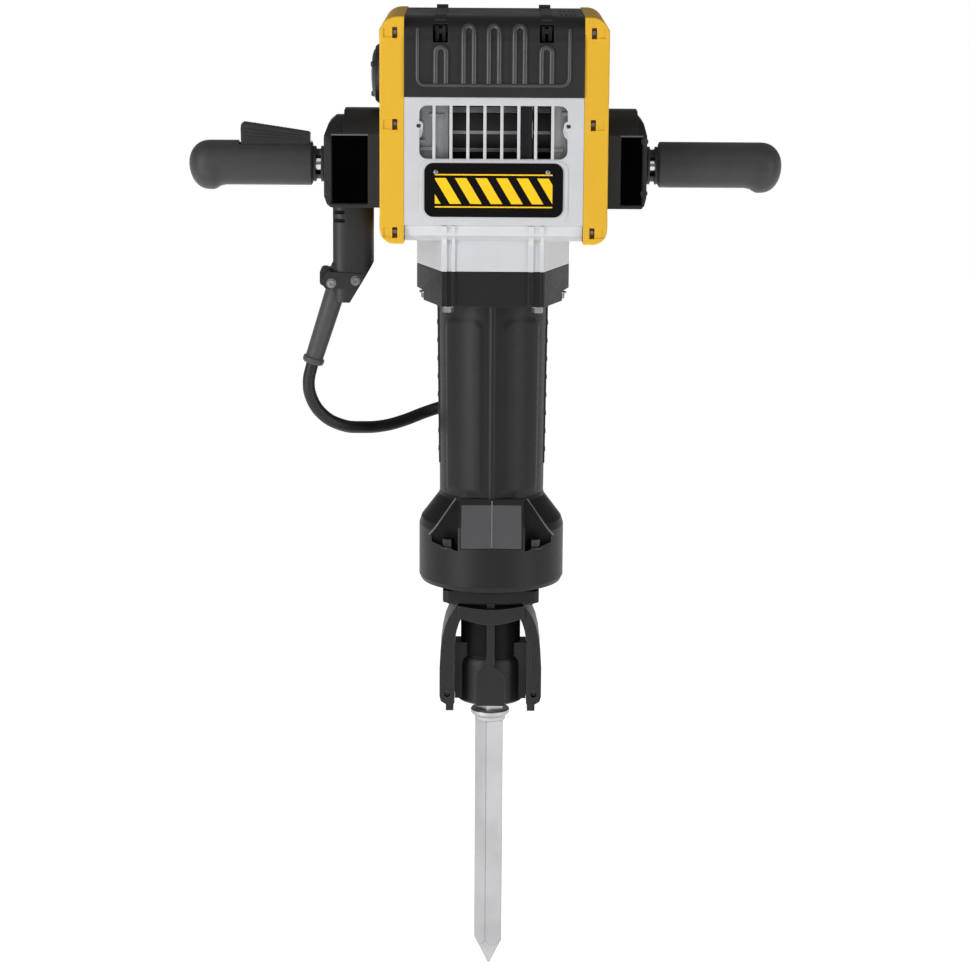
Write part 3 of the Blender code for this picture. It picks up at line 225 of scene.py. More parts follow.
# Phosphated forgings: a dry, finely pitted near-black for the nose and the retainer.
nose_coat = coated_casting("black_phosphated_forged_steel", "#161617", "#1F1F20", "#6A6A6B", 0.46,
                           peel=2.0, depth=0.22)
print("castings", silver_coat.name, black_coat.name, nose_coat.name)

# %% [markdown]
# ### Bare steel
#
# Three steels show: the forged chisel with its ground flats, zinc-plated screws, and the polished
# handle shafts. Grinding leaves fine lines along one direction, so the noise is stretched: dense
# across the lines (0.6 mm here; the real ones are finer) and long along them.

# %% Bare steel recipe
def bare_steel(name, colour, stain, rough, stretch=(1.0, 1.0, 0.05), line=0.6, cloud=18, edge=None):
    stuff, tree, shader, at = blank(name)
    along = add(tree, "ShaderNodeMapping", {"Vector": at, "Scale": stretch}).outputs[0]
    lines, slow = noise(tree, along, line, 3.0), noise(tree, at, cloud, 5.0)
    tone = blend(tree, remap(tree, slow, 0.4, 0.72, 0.0, 1.0), colour, stain)
    # An edge colour paints the corners darker: a painted dark reflection along them.
    if edge:
        tone = blend(tree, edge_mask(tree, 0.0016, 0.93, 1.0), tone, edge)
    sheen = remap(tree, lines, 0.3, 0.7, rough - 0.07, rough + 0.1)
    return dress(stuff, shader, tone, sheen, (lines, 0.0003, 0.12), {"Metallic": 1.0})


EVEN = (1.0, 1.0, 1.0)
# The chisel: clean ground flats whose corners are painted darker, a painted dark reflection along them.
chisel_steel = bare_steel("ground_chisel_steel", "#B9B9BB", "#ABABAD", 0.36, cloud=60, edge="#6E6E70")
# Two screws: bright zinc and blackened.
screw_zinc = bare_steel("zinc_plated_screw_steel", "#9A9B9C", "#77787A", 0.36, EVEN, 0.9)
black_screw = bare_steel("blackened_screw_steel", "#4A4A4B", "#333334", 0.42, EVEN, 0.9)
# The mirror of the handle shafts, the grey of the gears, and the wound copper.
shaft_steel = bare_steel("polished_shaft_steel", "#D8D8DA", "#B9B9BC", 0.16, (0.05, 1.0, 1.0))
gear_steel = bare_steel("ground_gear_steel", "#8E8F91", "#6D6E70", 0.34, (0.2, 1.0, 1.0))
winding_copper = bare_steel("drawn_copper_wire", "#B87A4B", "#8E5632", 0.34, (1.0, 0.1, 1.0), 1.2)
print("steels", chisel_steel.name, shaft_steel.name)

# %% [markdown]
# ### Soft rubber
#
# The grips, the cord's jacket and its sleeve are rubber: darker than nylon and duller, with a dry
# bloom that lightens the surface at a glancing angle. That bloom is the shader's sheen.

# %% Rubber recipe
def rubber(name, colour, bloom, rough, grain=1.1, depth=0.22, sheen=0.1):
    stuff, tree, shader, at = blank(name)
    slow = noise(tree, at, 22, 4.0)
    skin = add(tree, "ShaderNodeTexVoronoi", {"Vector": at, "Scale": 1000.0 / grain}).outputs[0]
    gloss = remap(tree, slow, 0.3, 0.7, rough - 0.05, rough + 0.07)
    values = {"Sheen Weight": sheen, "IOR": 1.5, "Specular IOR Level": 0.3}
    return dress(stuff, shader, blend(tree, slow, colour, bloom), gloss, (skin, 0.0003, depth), values)


# The grips and the sleeve are greyer than the cord, which is smooth and a little glossy.
grip_rubber = rubber("soft_touch_grip_rubber", "#2B2B2C", "#363637", 0.5)
cord_rubber = rubber("neoprene_cord_jacket", "#161616", "#202020", 0.42, depth=0.08, sheen=0.0)
boot_rubber = rubber("moulded_sleeve_rubber", "#3A3A3B", "#434344", 0.5)
# The bumper sleeve on the nose's neck is near black and matt: painted shade between the retainer's arms. The
# woven strap is coarse.
shade_sleeve_rubber = rubber("matt_bumper_rubber", "#040404", "#080808", 0.85, sheen=0.0)
strap_rubber = rubber("woven_tie_strap", "#1A1A1B", "#242425", 0.75, grain=0.9, depth=0.5)
print("rubbers", grip_rubber.name, cord_rubber.name)

# %% [markdown]
# ### The printed plate
#
# The plate is anodised aluminium, screen-printed. The print is generic: slanted warning bars in
# yellow on black between two thin rules. It is drawn from the plate's own coordinates: one wave
# across the slant for the bars, and one rectangle mask each for the block and the rules.

# %% Printed plate
plate_low, plate_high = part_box("name_plate")
plate_x = (plate_low.x + plate_high.x) / 2
BAR_PITCH, BAR_SHARE, BAR_SLANT, RULE_HALF = 0.0215, 0.56, 0.6, 0.0007


def printed_plate(name, half_width, block_foot, block_top, rules):
    stuff, tree, shader, at = blank(name)
    xyz = add(tree, "ShaderNodeSeparateXYZ", {0: at})
    x, z = xyz.outputs[0], xyz.outputs[2]
    slant = reckon(tree, "MULTIPLY_ADD", z, BAR_SLANT, x)
    wave = reckon(tree, "FRACT", reckon(tree, "DIVIDE", slant, BAR_PITCH))
    bar = reckon(tree, "LESS_THAN", wave, BAR_SHARE)
    tall = reckon(tree, "COMPARE", z, (block_foot + block_top) / 2, (block_top - block_foot) / 2)
    ink = reckon(tree, "MULTIPLY", bar, tall)
    for rule in rules:
        ink = reckon(tree, "MAXIMUM", ink, reckon(tree, "COMPARE", z, rule, RULE_HALF))
    ink = reckon(tree, "MULTIPLY", ink, reckon(tree, "COMPARE", x, plate_x, half_width))
    scuff = noise(tree, at, 3, 6.0)
    worn = reckon(tree, "MULTIPLY", ink, remap(tree, scuff, 0.62, 0.8, 1.0, 0.7))
    tone = blend(tree, worn, blend(tree, scuff, "#050505", "#0B0B0B"), "#EDBB22")
    gloss = remap(tree, scuff, 0.3, 0.7, 0.28, 0.4)
    return dress(stuff, shader, tone, gloss, (ink, 0.0002, 0.4), {"Specular IOR Level": 0.08})


# Semi-gloss black with bright yellow ink that is a hair proud of it.
plate_print = printed_plate("screen_printed_anodised_plate", 0.0615, -0.031, -0.004, (-0.0005, -0.0343))
print("plate", [round(v * 1000, 1) for v in plate_high - plate_low], "mm")

# %% [markdown]
# ## Solids from points
#
# Most of the tool is either a slab with a profile or a turned shape, so a few functions make nearly
# all raw shapes, and Booleans cut and join them as a machinist would. `eased` then breaks the sharp
# edges with a small bevel and weights the normals, which is what makes a hard-surface model catch
# light like a real moulding.

# %% Raw shapes
def linked(name, mesh):
    made = bpy.data.objects.new(name, mesh)
    bpy.context.scene.collection.objects.link(made)
    return made


def from_faces(name, points, faces):
    """A closed mesh from points and faces, its faces turned outwards."""
    mesh = bpy.data.meshes.new(name)
    mesh.from_pydata([tuple(p) for p in points], [], faces)
    work = bmesh.new()
    work.from_mesh(mesh)
    bmesh.ops.remove_doubles(work, verts=work.verts, dist=1e-6)
    bmesh.ops.recalc_face_normals(work, faces=work.faces)
    work.to_mesh(mesh)
    work.free()
    return linked(name, mesh)


PLACES = {
    "X": lambda a, b, t: (t, a, b),
    "Y": lambda a, b, t: (a, t, b),
    "Z": lambda a, b, t: (a, b, t),
}


def slab(outline, low, high, axis="Y"):
    """An outline given in the two other axes, extruded between two places along this one."""
    low, high = sorted((low, high))
    count = len(outline)
    points = [PLACES[axis](a, b, t) for t in (low, high) for a, b in outline]
    faces = [tuple(range(count)), tuple(range(count, 2 * count))]
    faces += [(i, (i + 1) % count, (i + 1) % count + count, i + count) for i in range(count)]
    return from_faces("slab", points, faces)


def block(one, other):
    """A box between two opposite corners, in any order."""
    (x0, x1), (y0, y1), (z0, z1) = [sorted(pair) for pair in zip(one, other)]
    return slab([(x0, y0), (x1, y0), (x1, y1), (x0, y1)], z0, z1, "Z")


def turned(profile, axis="Z", at=(0.0, 0.0, 0.0), steps=96, ring=False):
    """A profile of (radius, height) pairs spun round an axis through `at`."""
    rows = [[PLACES[axis](r * math.cos(k), r * math.sin(k), h)
        for k in (2 * math.pi * i / steps for i in range(steps))]
            for r, h in profile]
    points = [Vector(p) + Vector(at) for row in rows for p in row]
    faces = []
    for j in range(len(rows) - (0 if ring else 1)):
        a, b = j * steps, (j + 1) % len(rows) * steps
        faces += [(a + i, a + (i + 1) % steps, b + (i + 1) % steps, b + i) for i in range(steps)]
    made = from_faces("turned", points, faces)
    work = bmesh.new()
    work.from_mesh(made.data)
    bmesh.ops.dissolve_degenerate(work, dist=1e-6, edges=work.edges)
    open_edges = [e for e in work.edges if e.is_boundary]
    if open_edges:
        bmesh.ops.holes_fill(work, edges=open_edges, sides=0)
    bmesh.ops.recalc_face_normals(work, faces=work.faces)
    work.to_mesh(made.data)
    work.free()
    return made


def rod(radius, start, end, axis="Z", at=(0.0, 0.0, 0.0), steps=96):
    """A plain cylinder along an axis through `at`."""
    return turned([(0, start), (radius, start), (radius, end), (0, end)], axis, at, steps)


def arc(radius, centre, start, sweep, count=8):
    """Points along part of a circle; angles in degrees."""
    turns = [math.radians(start + sweep * i / (count - 1)) for i in range(count)]
    return [(centre[0] + radius * math.cos(k), centre[1] + radius * math.sin(k)) for k in turns]


def rounded(low, high, radius, count=6):
    """A rectangle from corner to corner, with rounded corners."""
    (a, b), (c, d) = low, high
    return (arc(radius, (c - radius, d - radius), 0, 90, count) + arc(radius, (a + radius, d - radius), 90,
        90, count)
            + arc(radius, (a + radius, b + radius), 180, 90, count) + arc(radius, (c - radius, b + radius),
            270, 90, count))


# %% [markdown]
# Tools are used up as they cut or join. Easing comes last on each piece: it welds stray points,
# drops needless edges, rounds the sharp ones, and lets the broad faces set the normals.

# %% Cutting, joining and easing
def settle(target):
    """Turns an object and its modifiers into one plain mesh."""
    graph = bpy.context.evaluated_depsgraph_get()
    mesh = bpy.data.meshes.new_from_object(target.evaluated_get(graph), depsgraph=graph)
    target.modifiers.clear()
    target.data = mesh
    return target


def combine(target, tools, operation):
    for tool in tools:
        change = target.modifiers.new("combine", "BOOLEAN")
        change.operation, change.object, change.solver = operation, tool, "EXACT"
    settle(target)
    for tool in tools:
        bpy.data.objects.remove(tool)
    return target


def cut(target, *tools):
    return combine(target, tools, "DIFFERENCE")


def join(target, *tools):
    return combine(target, tools, "UNION")


def joined(pieces):
    """A list of pieces as one."""
    return join(*pieces)


def softened(target, angle):
    """Smooth shading that stays sharp where faces meet at more than this angle, in degrees."""
    target.data.shade_smooth()
    target.data.set_sharp_from_angle(angle=math.radians(angle))
    return target


def eased(target, width=0.0006, steps=2, angle=32):
    """Breaks sharp edges with a small round and weights the normals towards the broad faces."""
    work = bmesh.new()
    work.from_mesh(target.data)
    bmesh.ops.remove_doubles(work, verts=work.verts, dist=2e-6)
    bmesh.ops.dissolve_degenerate(work, dist=2e-6, edges=work.edges)
    bmesh.ops.dissolve_limit(work, angle_limit=math.radians(0.4), verts=work.verts, edges=work.edges)
    work.to_mesh(target.data)
    work.free()
    if width:
        edge = target.modifiers.new("edge", "BEVEL")
        edge.width, edge.segments, edge.limit_method = width, steps, "ANGLE"
        edge.angle_limit, edge.use_clamp_overlap = math.radians(angle), True
        settle(target)
    softened(target, 38)
    target.modifiers.new("normals", "WEIGHTED_NORMAL").keep_sharp = True
    return settle(target)


def fit(target, name, stuff, stands_for=(), body="housing"):
    """Names a finished piece, gives it its finish, and fixes it to the CAD body it rides on."""
    target.name = target.data.name = name
    target.data.materials.clear()
    target.data.materials.append(stuff)
    for face in target.data.polygons:
        face.material_index = 0
    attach(target, body)
    if stands_for:
        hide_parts(*stands_for)
    return target


print("tools ready")

# %% [markdown]
# ## Studio
#
# The tool stands on its point on a plain pale floor that runs out of sight behind it. The camera
# stands a little over three metres away, 12 degrees up, with a portrait-length lens, so upright
# lines stay nearly parallel. It leans by a third of a degree, as a hand-levelled camera does. A wide,
# soft sun gives the floor an even tone; two long side panels put the tall soft highlights on the
# barrel that show it is round.

# %% Camera
TARGET = Vector((-0.00715, 0.0, -0.3531))
DISTANCE, RISE, LEAN = 3.374, math.radians(12.0), math.radians(0.35)
lens = bpy.data.cameras.new("portrait_lens")
lens.sensor_fit, lens.sensor_width, lens.lens = "HORIZONTAL", 36.0, 113.83
camera = bpy.data.objects.new("camera", lens)
bpy.context.scene.collection.objects.link(camera)
ahead = Vector((0.0, math.cos(RISE), -math.sin(RISE)))
side, up = Vector((1.0, 0.0, 0.0)), Vector((0.0, math.sin(RISE), math.cos(RISE)))
right = side * math.cos(LEAN) + up * math.sin(LEAN)
above = up * math.cos(LEAN) - side * math.sin(LEAN)
camera.matrix_world = Matrix.LocRotScale(
    TARGET - ahead * DISTANCE, Matrix((right, above, -ahead)).transposed().to_quaternion(), None
)
bpy.context.scene.camera = camera
print("camera at", [round(v, 3) for v in camera.location])

# %% [markdown]
# The floor is matt white paper that glows a little, as an evenly lit sweep does, so the tool
# stands in white without its blacks turning grey. The left panel is twice as strong as the right,
# which gives the round parts a bright and a dark side.

# %% Floor and lights
floor = linked("studio_floor", bpy.data.meshes.new("studio_floor"))
floor.data.from_pydata([(-300, -300, 0), (300, -300, 0), (300, 300, 0), (-300, 300, 0)], [], [(0, 1, 2, 3)])
floor.data.transform(Matrix.Translation((0, 0, cad_low.z - 0.0004)))
paper, paper_tree, paper_shader, paper_at = blank("matt_studio_paper")
mottle = add(paper_tree, "ShaderNodeTexNoise", {"Vector": paper_at, "Scale": 1.5, "Detail": 2.0})
shade = add(paper_tree, "ShaderNodeMix", {0: mottle.outputs[0], 6: linear("#F4F4F3"), 7: linear("#F8F8F7")},
    data_type="RGBA")
paper_tree.links.new(shade.outputs[2], paper_shader.inputs["Base Color"])
paper_shader.inputs["Roughness"].default_value = 0.9
paper_shader.inputs["Specular IOR Level"].default_value = 0.1
paper_shader.inputs["Emission Color"].default_value = linear("#FFFFFF")
paper_shader.inputs["Emission Strength"].default_value = 0.74
floor.data.materials.append(paper)


def light(name, kind, power, place, toward=(0, 0, -0.35), size=(1.0, 1.0), tint=(1.0, 1.0, 1.0)):
    lamp = bpy.data.lights.new(name, kind)
    lamp.energy, lamp.color = power, tint
    if kind == "AREA":
        lamp.shape, lamp.size, lamp.size_y = "RECTANGLE", *size
    else:
        lamp.angle = math.radians(size[0])
    made = bpy.data.objects.new(name, lamp)
    bpy.context.scene.collection.objects.link(made)
    way = Vector(toward) - Vector(place)
    made.matrix_world = Matrix.LocRotScale(Vector(place), way.to_track_quat("-Z", "Y"), None)
    return made


light("soft_sun", "SUN", 0.5, (-1.2, -3.2, 2.6), size=(50, 0))
light("left_panel", "AREA", 34, (-1.7, -1.5, 0.1), size=(0.5, 2.4))
light("right_panel", "AREA", 18, (1.9, -1.3, 0.1), size=(0.45, 2.4))
sky = bpy.data.worlds.new("studio_fill")
bpy.context.scene.world = sky
sky.use_nodes = True
sky.node_tree.nodes.clear()
fill = add(sky.node_tree, "ShaderNodeBackground", {"Color": linear("#FFFFFF"), "Strength": 0.18})
add(sky.node_tree, "ShaderNodeOutputWorld", {"Surface": fill.outputs[0]})
bpy.context.scene.view_settings.view_transform = "Standard"

# %% [markdown]
# ## The cord
#
# A breaker of this class has about 1.85 m of heavy neoprene cable, 13.6 mm thick. It leaves its
# sleeve under the left handle, swings down and round behind the barrel, and the rest is put away
# there as a hank: long turns lying on each other, one cord's thickness apart, held by a strap on a
# hook. It is one Bezier curve with automatic handles, so it bends as cable does, without kinks. No
# bend of the lead is tighter than about four diameters, and the folds of the hank are three.

# %% Route of the cord
CORD = 0.0136
EXIT, DOWN = Vector((-0.19615, 0.0, -0.21768)), Vector((-0.30403, 0.0, -0.95266))
ROUTE = [
    (-0.2004, 0.0006, -0.2389), (-0.1976, 0.003, -0.2568), (-0.1858, 0.0085, -0.2762),
    (-0.1655, 0.0206, -0.2901), (-0.1432, 0.0415, -0.2965), (-0.1202, 0.0589, -0.298),
    (-0.0981, 0.0745, -0.2947), (-0.0773, 0.0867, -0.2886), (-0.0615, 0.09, -0.2836),
]
hank_low, hank_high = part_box("cord_hank")
plug_low, plug_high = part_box("plug")
FOLD = (hank_high.x - hank_low.x - CORD) / 2
TOP_FOLD, FOOT_FOLD = hank_high.z - CORD / 2 - FOLD, hank_low.z + CORD / 2 + FOLD
LAYER = 0.0138


def hank_path(first):
    """The hank's turns: in from the left, up the right side, then over, down, round and up again."""
    points = [(-0.0478, first, -0.2797), (-0.0275, first, -0.2746)]
    points += [(x, first, z) for x, z in arc(0.09, (-0.0493, -0.1873), -76, 76, 9)[1:]]
    depth = first
    for layer in range(3):
        for x, z in arc(FOLD, (0, TOP_FOLD), 0, 180, 11):
            share = math.degrees(math.atan2(z - TOP_FOLD, x)) / 180
            points.append((x, depth + LAYER * share * share * (3 - 2 * share), z))
        depth += LAYER
        if layer < 2:
            points += [(-FOLD, depth, TOP_FOLD + (FOOT_FOLD - TOP_FOLD) * t) for t in (0.3, 0.7)]
            points += [(x, depth, z) for x, z in arc(FOLD, (0, FOOT_FOLD), 180, 180, 9)]
            points += [(FOLD, depth, FOOT_FOLD + (TOP_FOLD - FOOT_FOLD) * t) for t in (0.3, 0.7)]
    return points + [(-FOLD, depth, z) for z in (-0.21, -0.26, -0.31, plug_high.z - 0.002)]


path = [EXIT] + [Vector(p) for p in ROUTE + hank_path(hank_low.y + CORD / 2 + 0.0004)]
line = bpy.data.curves.new("mains_cord", "CURVE")
line.dimensions, line.bevel_depth, line.bevel_resolution = "3D", CORD / 2, 6
line.use_fill_caps, line.resolution_u = True, 5
spline = line.splines.new("BEZIER")
spline.bezier_points.add(len(path) - 1)
for point, where in zip(spline.bezier_points, path):
    point.co, point.handle_left_type, point.handle_right_type = where, "AUTO", "AUTO"
mains_cord = linked("mains_cord", line)
line.materials.append(cord_rubber)
print("cord points", len(path))

# %% [markdown]
# ## Things that repeat
#
# Screws, grille bars, slots, teeth and raised beads repeat all over the tool, so each kind is one
# Geometry Nodes tree with its sizes as named inputs. A plain mesh goes in (points for screws, edges
# for beads), and the tree ends by making its instances real and giving them their material. The
# result is kept as a plain mesh.

# %% Geometry Nodes helpers
def new_tree(name, inputs):
    """A geometry tree with a geometry input and output, and named inputs of the given kinds."""
    tree = bpy.data.node_groups.new(name, "GeometryNodeTree")
    tree.interface.new_socket("Geometry", in_out="INPUT", socket_type="NodeSocketGeometry")
    tree.interface.new_socket("Geometry", in_out="OUTPUT", socket_type="NodeSocketGeometry")
    for label, kind in inputs:
        tree.interface.new_socket(label, in_out="INPUT", socket_type="NodeSocket" + kind)
    return tree, add(tree, "NodeGroupInput").outputs


def close_tree(tree, geometry, stuff):
    real = add(tree, "GeometryNodeRealizeInstances", {0: geometry})
    made = add(tree, "GeometryNodeSetMaterial", {"Geometry": real.outputs[0], "Material": stuff})
    add(tree, "NodeGroupOutput", {0: made.outputs[0]})


def grown(tree, points, edges=(), aims=None, **sizes):
    """Runs a tree on a mesh of points and edges, with its inputs set by name, and keeps the mesh."""
    mesh = bpy.data.meshes.new(tree.name)
    mesh.from_pydata([tuple(p) for p in points], list(edges), [])
    if aims:
        aim = mesh.attributes.new("aim", "FLOAT_VECTOR", "POINT")
        for spot, way in zip(aim.data, aims):
            spot.vector = way
    made = linked(tree.name, mesh)
    change = made.modifiers.new("grow", "NODES")
    change.node_group = tree
    for item in tree.interface.items_tree:
        key = item.name.replace(" ", "_").lower()
        if item.item_type == "SOCKET" and item.in_out == "INPUT" and key in sizes:
            change[item.identifier] = sizes[key]
    return settle(made)


# %% [markdown]
# A bead is a round wire swept along a path: a rib on the hood, the rim of a bay, a seam. Its ends
# are capped, so it stays closed.

# %% Beads that follow a path
bead_tree, given = new_tree("bead_along_path", [("Radius", "Float"), ("Material", "Material")])
path_curve = add(bead_tree, "GeometryNodeMeshToCurve", {0: given["Geometry"]})
ring_curve = add(bead_tree, "GeometryNodeCurvePrimitiveCircle", {"Resolution": 12, "Radius": given["Radius"]})
bead = add(bead_tree, "GeometryNodeCurveToMesh",
           {"Curve": path_curve.outputs[0], "Profile Curve": ring_curve.outputs[0], "Fill Caps": True})
close_tree(bead_tree, bead.outputs[0], given["Material"])


def beads(paths, radius, stuff):
    """One round bead along each path of points."""
    points, edges = [], []
    for way in paths:
        first = len(points)
        points += way
        edges += [(i, i + 1) for i in range(first, len(points) - 1)]
    return grown(bead_tree, points, edges, radius=radius, material=stuff)


# %% [markdown]
# A row puts the same block on every point of a list. It makes bars and teeth as they are, and
# cooling slots when it is used as a cutting tool.

# %% Rows of blocks: bars, teeth, slots
row_tree, given = new_tree("row_of_blocks", [("Size", "Vector"), ("Material", "Material")])
cell = add(row_tree, "GeometryNodeMeshCube", {"Size": given["Size"]})
placed = add(row_tree, "GeometryNodeMeshToPoints", {"Mesh": given["Geometry"]})
copies = add(row_tree, "GeometryNodeInstanceOnPoints", {"Points": placed.outputs[0],
    "Instance": cell.outputs[0]})
close_tree(row_tree, copies.outputs[0], given["Material"])


def row(points, size, stuff=None):
    return grown(row_tree, points, size=size, material=stuff)


# %% [markdown]
# One cap screw serves the whole tool: a head with a small crown, a hexagonal key socket, and a
# washer under it. Six sides make it a bolt. Each point carries an aim, so screws can face any
# way.

# %% Screws and bolts
screw_tree, given = new_tree("cap_screw", [
    ("Radius", "Float"), ("Height", "Float"), ("Sides", "Int"), ("Socket", "Float"), ("Washer", "Float"),
    ("Material", "Material"),
])
half_height = add(screw_tree, "ShaderNodeMath", {0: given["Height"], 1: 0.5}, operation="MULTIPLY").outputs[0]
head = add(screw_tree, "GeometryNodeMeshCylinder",
           {"Vertices": given["Sides"], "Radius": given["Radius"], "Depth": given["Height"]})
head_up = add(screw_tree, "ShaderNodeCombineXYZ", {2: half_height}).outputs[0]
head_set = add(screw_tree, "GeometryNodeTransform", {"Geometry": head.outputs["Mesh"],
    "Translation": head_up})
crown_radius = add(screw_tree, "ShaderNodeMath", {0: given["Radius"], 1: 0.86},
    operation="MULTIPLY").outputs[0]
crown = add(screw_tree, "GeometryNodeMeshCone", {
    "Vertices": given["Sides"], "Radius Top": crown_radius, "Radius Bottom": given["Radius"],
    "Depth": 0.0007})
crown_up = add(screw_tree, "ShaderNodeCombineXYZ", {2: given["Height"]}).outputs[0]
crown_set = add(screw_tree, "GeometryNodeTransform", {"Geometry": crown.outputs["Mesh"],
    "Translation": crown_up})
solid = add(screw_tree, "GeometryNodeMeshBoolean", operation="UNION", solver="EXACT")
for part in (head_set, crown_set):
    screw_tree.links.new(part.outputs[0], solid.inputs["Mesh 2"])
key_depth = add(screw_tree, "ShaderNodeMath", {0: given["Height"], 1: 1.2}, operation="MULTIPLY").outputs[0]
key = add(screw_tree, "GeometryNodeMeshCylinder", {"Vertices": 6, "Radius": given["Socket"],
    "Depth": key_depth})
key_set = add(screw_tree, "GeometryNodeTransform", {"Geometry": key.outputs["Mesh"], "Translation": crown_up})
keyed = add(screw_tree, "GeometryNodeMeshBoolean",
            {"Mesh 1": solid.outputs[0], "Mesh 2": key_set.outputs[0]}, operation="DIFFERENCE",
            solver="EXACT")
disc = add(screw_tree, "GeometryNodeMeshCylinder", {"Vertices": 28, "Radius": given["Washer"],
    "Depth": 0.0012})
whole = add(screw_tree, "GeometryNodeJoinGeometry")
for part in (disc.outputs["Mesh"], keyed.outputs[0]):
    screw_tree.links.new(part, whole.inputs[0])
aim = add(screw_tree, "GeometryNodeInputNamedAttribute", {"Name": "aim"}, data_type="FLOAT_VECTOR")
turn = add(screw_tree, "FunctionNodeAlignRotationToVector", {"Vector": aim.outputs[0]}, axis="Z")
spots = add(screw_tree, "GeometryNodeMeshToPoints", {"Mesh": given["Geometry"]})
copies = add(screw_tree, "GeometryNodeInstanceOnPoints", {
    "Points": spots.outputs[0], "Instance": whole.outputs[0], "Rotation": turn.outputs[0]})
close_tree(screw_tree, copies.outputs[0], given["Material"])


def screws(name, spots, radius, height, stuff, socket=0.5, sides=24, washer=1.25, body="housing"):
    """Screws whose heads sit at the given places, each pointing its own way."""
    made = grown(screw_tree, [p for p, _ in spots], aims=[w for _, w in spots], radius=radius, height=height,
                 sides=sides, socket=radius * socket, washer=radius * washer, material=stuff)
    return fit(softened(made, 30), name, stuff, body=body)


FRONTWARD, UPWARD, DOWNWARD = (0, -1, 0), (0, 0, 1), (0, 0, -1)
print("trees", [t.name for t in bpy.data.node_groups])

# %% [markdown]
# ## The hood
#
# The black hood closes the top of the head: one moulding, flat on top, with a round shoulder of
# 26 mm at the front and the back. Its face carries a raised border and five finger-shaped ribs that
# stiffen it, two latch windows in the shoulder, and cooling slots on top. A slab with the side
# profile is cut for the windows; the ribs are beads laid along paths that follow the shoulder.

# %% Hood body
hood_low, hood_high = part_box("top_hood")
HOOD_FACE, SHOULDER = hood_low.y + 0.0025, 0.026
shoulder_z = hood_high.z - SHOULDER


def hood_front(z, proud=0.0):
    """How far forward the hood's face stands at a height."""
    drop = max(0.0, z - shoulder_z)
    return HOOD_FACE + SHOULDER - math.sqrt(max(1e-9, (SHOULDER + proud) ** 2 - drop * drop))


def hood_section(grow=0.0):
    """The hood's two shoulders, seen from the side."""
    front = arc(SHOULDER + grow, (HOOD_FACE + SHOULDER, shoulder_z), 180, -90, 12)
    back = [(-y, z) for y, z in reversed(front)]
    return front + back


hood = slab([(HOOD_FACE, hood_low.z), *hood_section(), (-HOOD_FACE, hood_low.z)], hood_low.x, hood_high.x,
    "X")
LATCHES = ((-0.064, -0.0484), (0.0468, 0.0617))
hollow = block((hood_low.x + 0.004, HOOD_FACE + 0.012, hood_low.z - 0.01),
    (hood_high.x - 0.004, -HOOD_FACE - 0.012, 0.147))
windows = [block((a, face * 0.074, 0.1365), (b, face * 0.12, 0.155)) for a, b in LATCHES for face in (-1, 1)]
top_slots = row([(0.07 + 0.0048 * i, y, hood_high.z) for i in range(4) for y in (0.018, -0.06)],
    (0.0027, 0.016, 0.012))
top_slots_left = row([(-0.0844 + 0.0048 * i, 0.06, hood_high.z) for i in range(4)], (0.0027, 0.016, 0.012))
rear_slots = row([(0.0, -HOOD_FACE, 0.098 + 0.0062 * i) for i in range(5)], (0.11, 0.012, 0.003))
cut(hood, hollow, *windows, top_slots, top_slots_left, rear_slots)
eased(hood, 0.0011, 3)
fit(hood, "hood_shell", hood_nylon, ["top_hood"])
print("hood", len(hood.data.polygons), "faces")

# %% [markdown]
# The ribs and the border follow the shoulder: their flat outline is drawn first, and each point
# is then moved forward to where the hood's face stands at its height. The two latches are straps
# laid over the hood, hooked into the windows at both ends.

# %% Hood ribs, border and latches
def finger(x, half, low, high):
    """An upside-down U on the hood's face."""
    foot_to_bend = [(x - half, z) for z in (low + (high - half - low) * i / 9 for i in range(10))]
    bend = [(x - half * math.cos(k), high - half + half * math.sin(k))
        for k in (math.pi * i / 12 for i in range(1, 12))]
    flat = foot_to_bend + bend + [(2 * x - a, b) for a, b in reversed(foot_to_bend)]
    return [(a, hood_front(b), b) for a, b in flat]


def border(low, high, left, right, radius, face):
    """A U with rounded corners on the hood's front (-1) or back (1)."""
    flat = [(left, z) for z in (high + (low + radius - high) * i / 9 for i in range(10))]
    flat += arc(radius, (left + radius, low + radius), 180, 90, 7)[1:]
    flat += arc(radius, (right - radius, low + radius), 270, 90, 7)
    flat += [(right, z) for z in (low + radius + (high - low - radius) * i / 9 for i in range(1, 10))]
    return [(a, -face * hood_front(b), b) for a, b in flat]


TALL, SHORT = (-0.0267, -0.0005, 0.0262), (-0.0557, 0.0542)
ribs = [finger(x, 0.0054, 0.0945, top) for top, places in ((0.153, TALL), (0.132, SHORT)) for x in places]
# The ribs take the lighter nylon: a painted highlight along them.
hood_ribs = beads(ribs, 0.0031, highlight_rib_nylon)
hood_ribs.data.shade_smooth()
fit(hood_ribs, "hood_finger_ribs", highlight_rib_nylon)
pads = [slab(rounded((x - 0.005, 0.0935), (x + 0.005, 0.13), 0.003), HOOD_FACE - 0.0006, HOOD_FACE + 0.002)
    for x in SHORT + TALL]
# The border bead is in the lighter nylon too: a painted highlight.
edge_bead = beads([border(0.0925, 0.15, -0.08, 0.078, 0.008, face) for face in (-1, 1)], 0.0022, highlight_rib_nylon)
edge_bead.data.shade_smooth()
fit(edge_bead, "hood_border_bead", highlight_rib_nylon)
fit(eased(joined(pads), 0.0004, 2), "hood_rib_webs", hood_nylon)

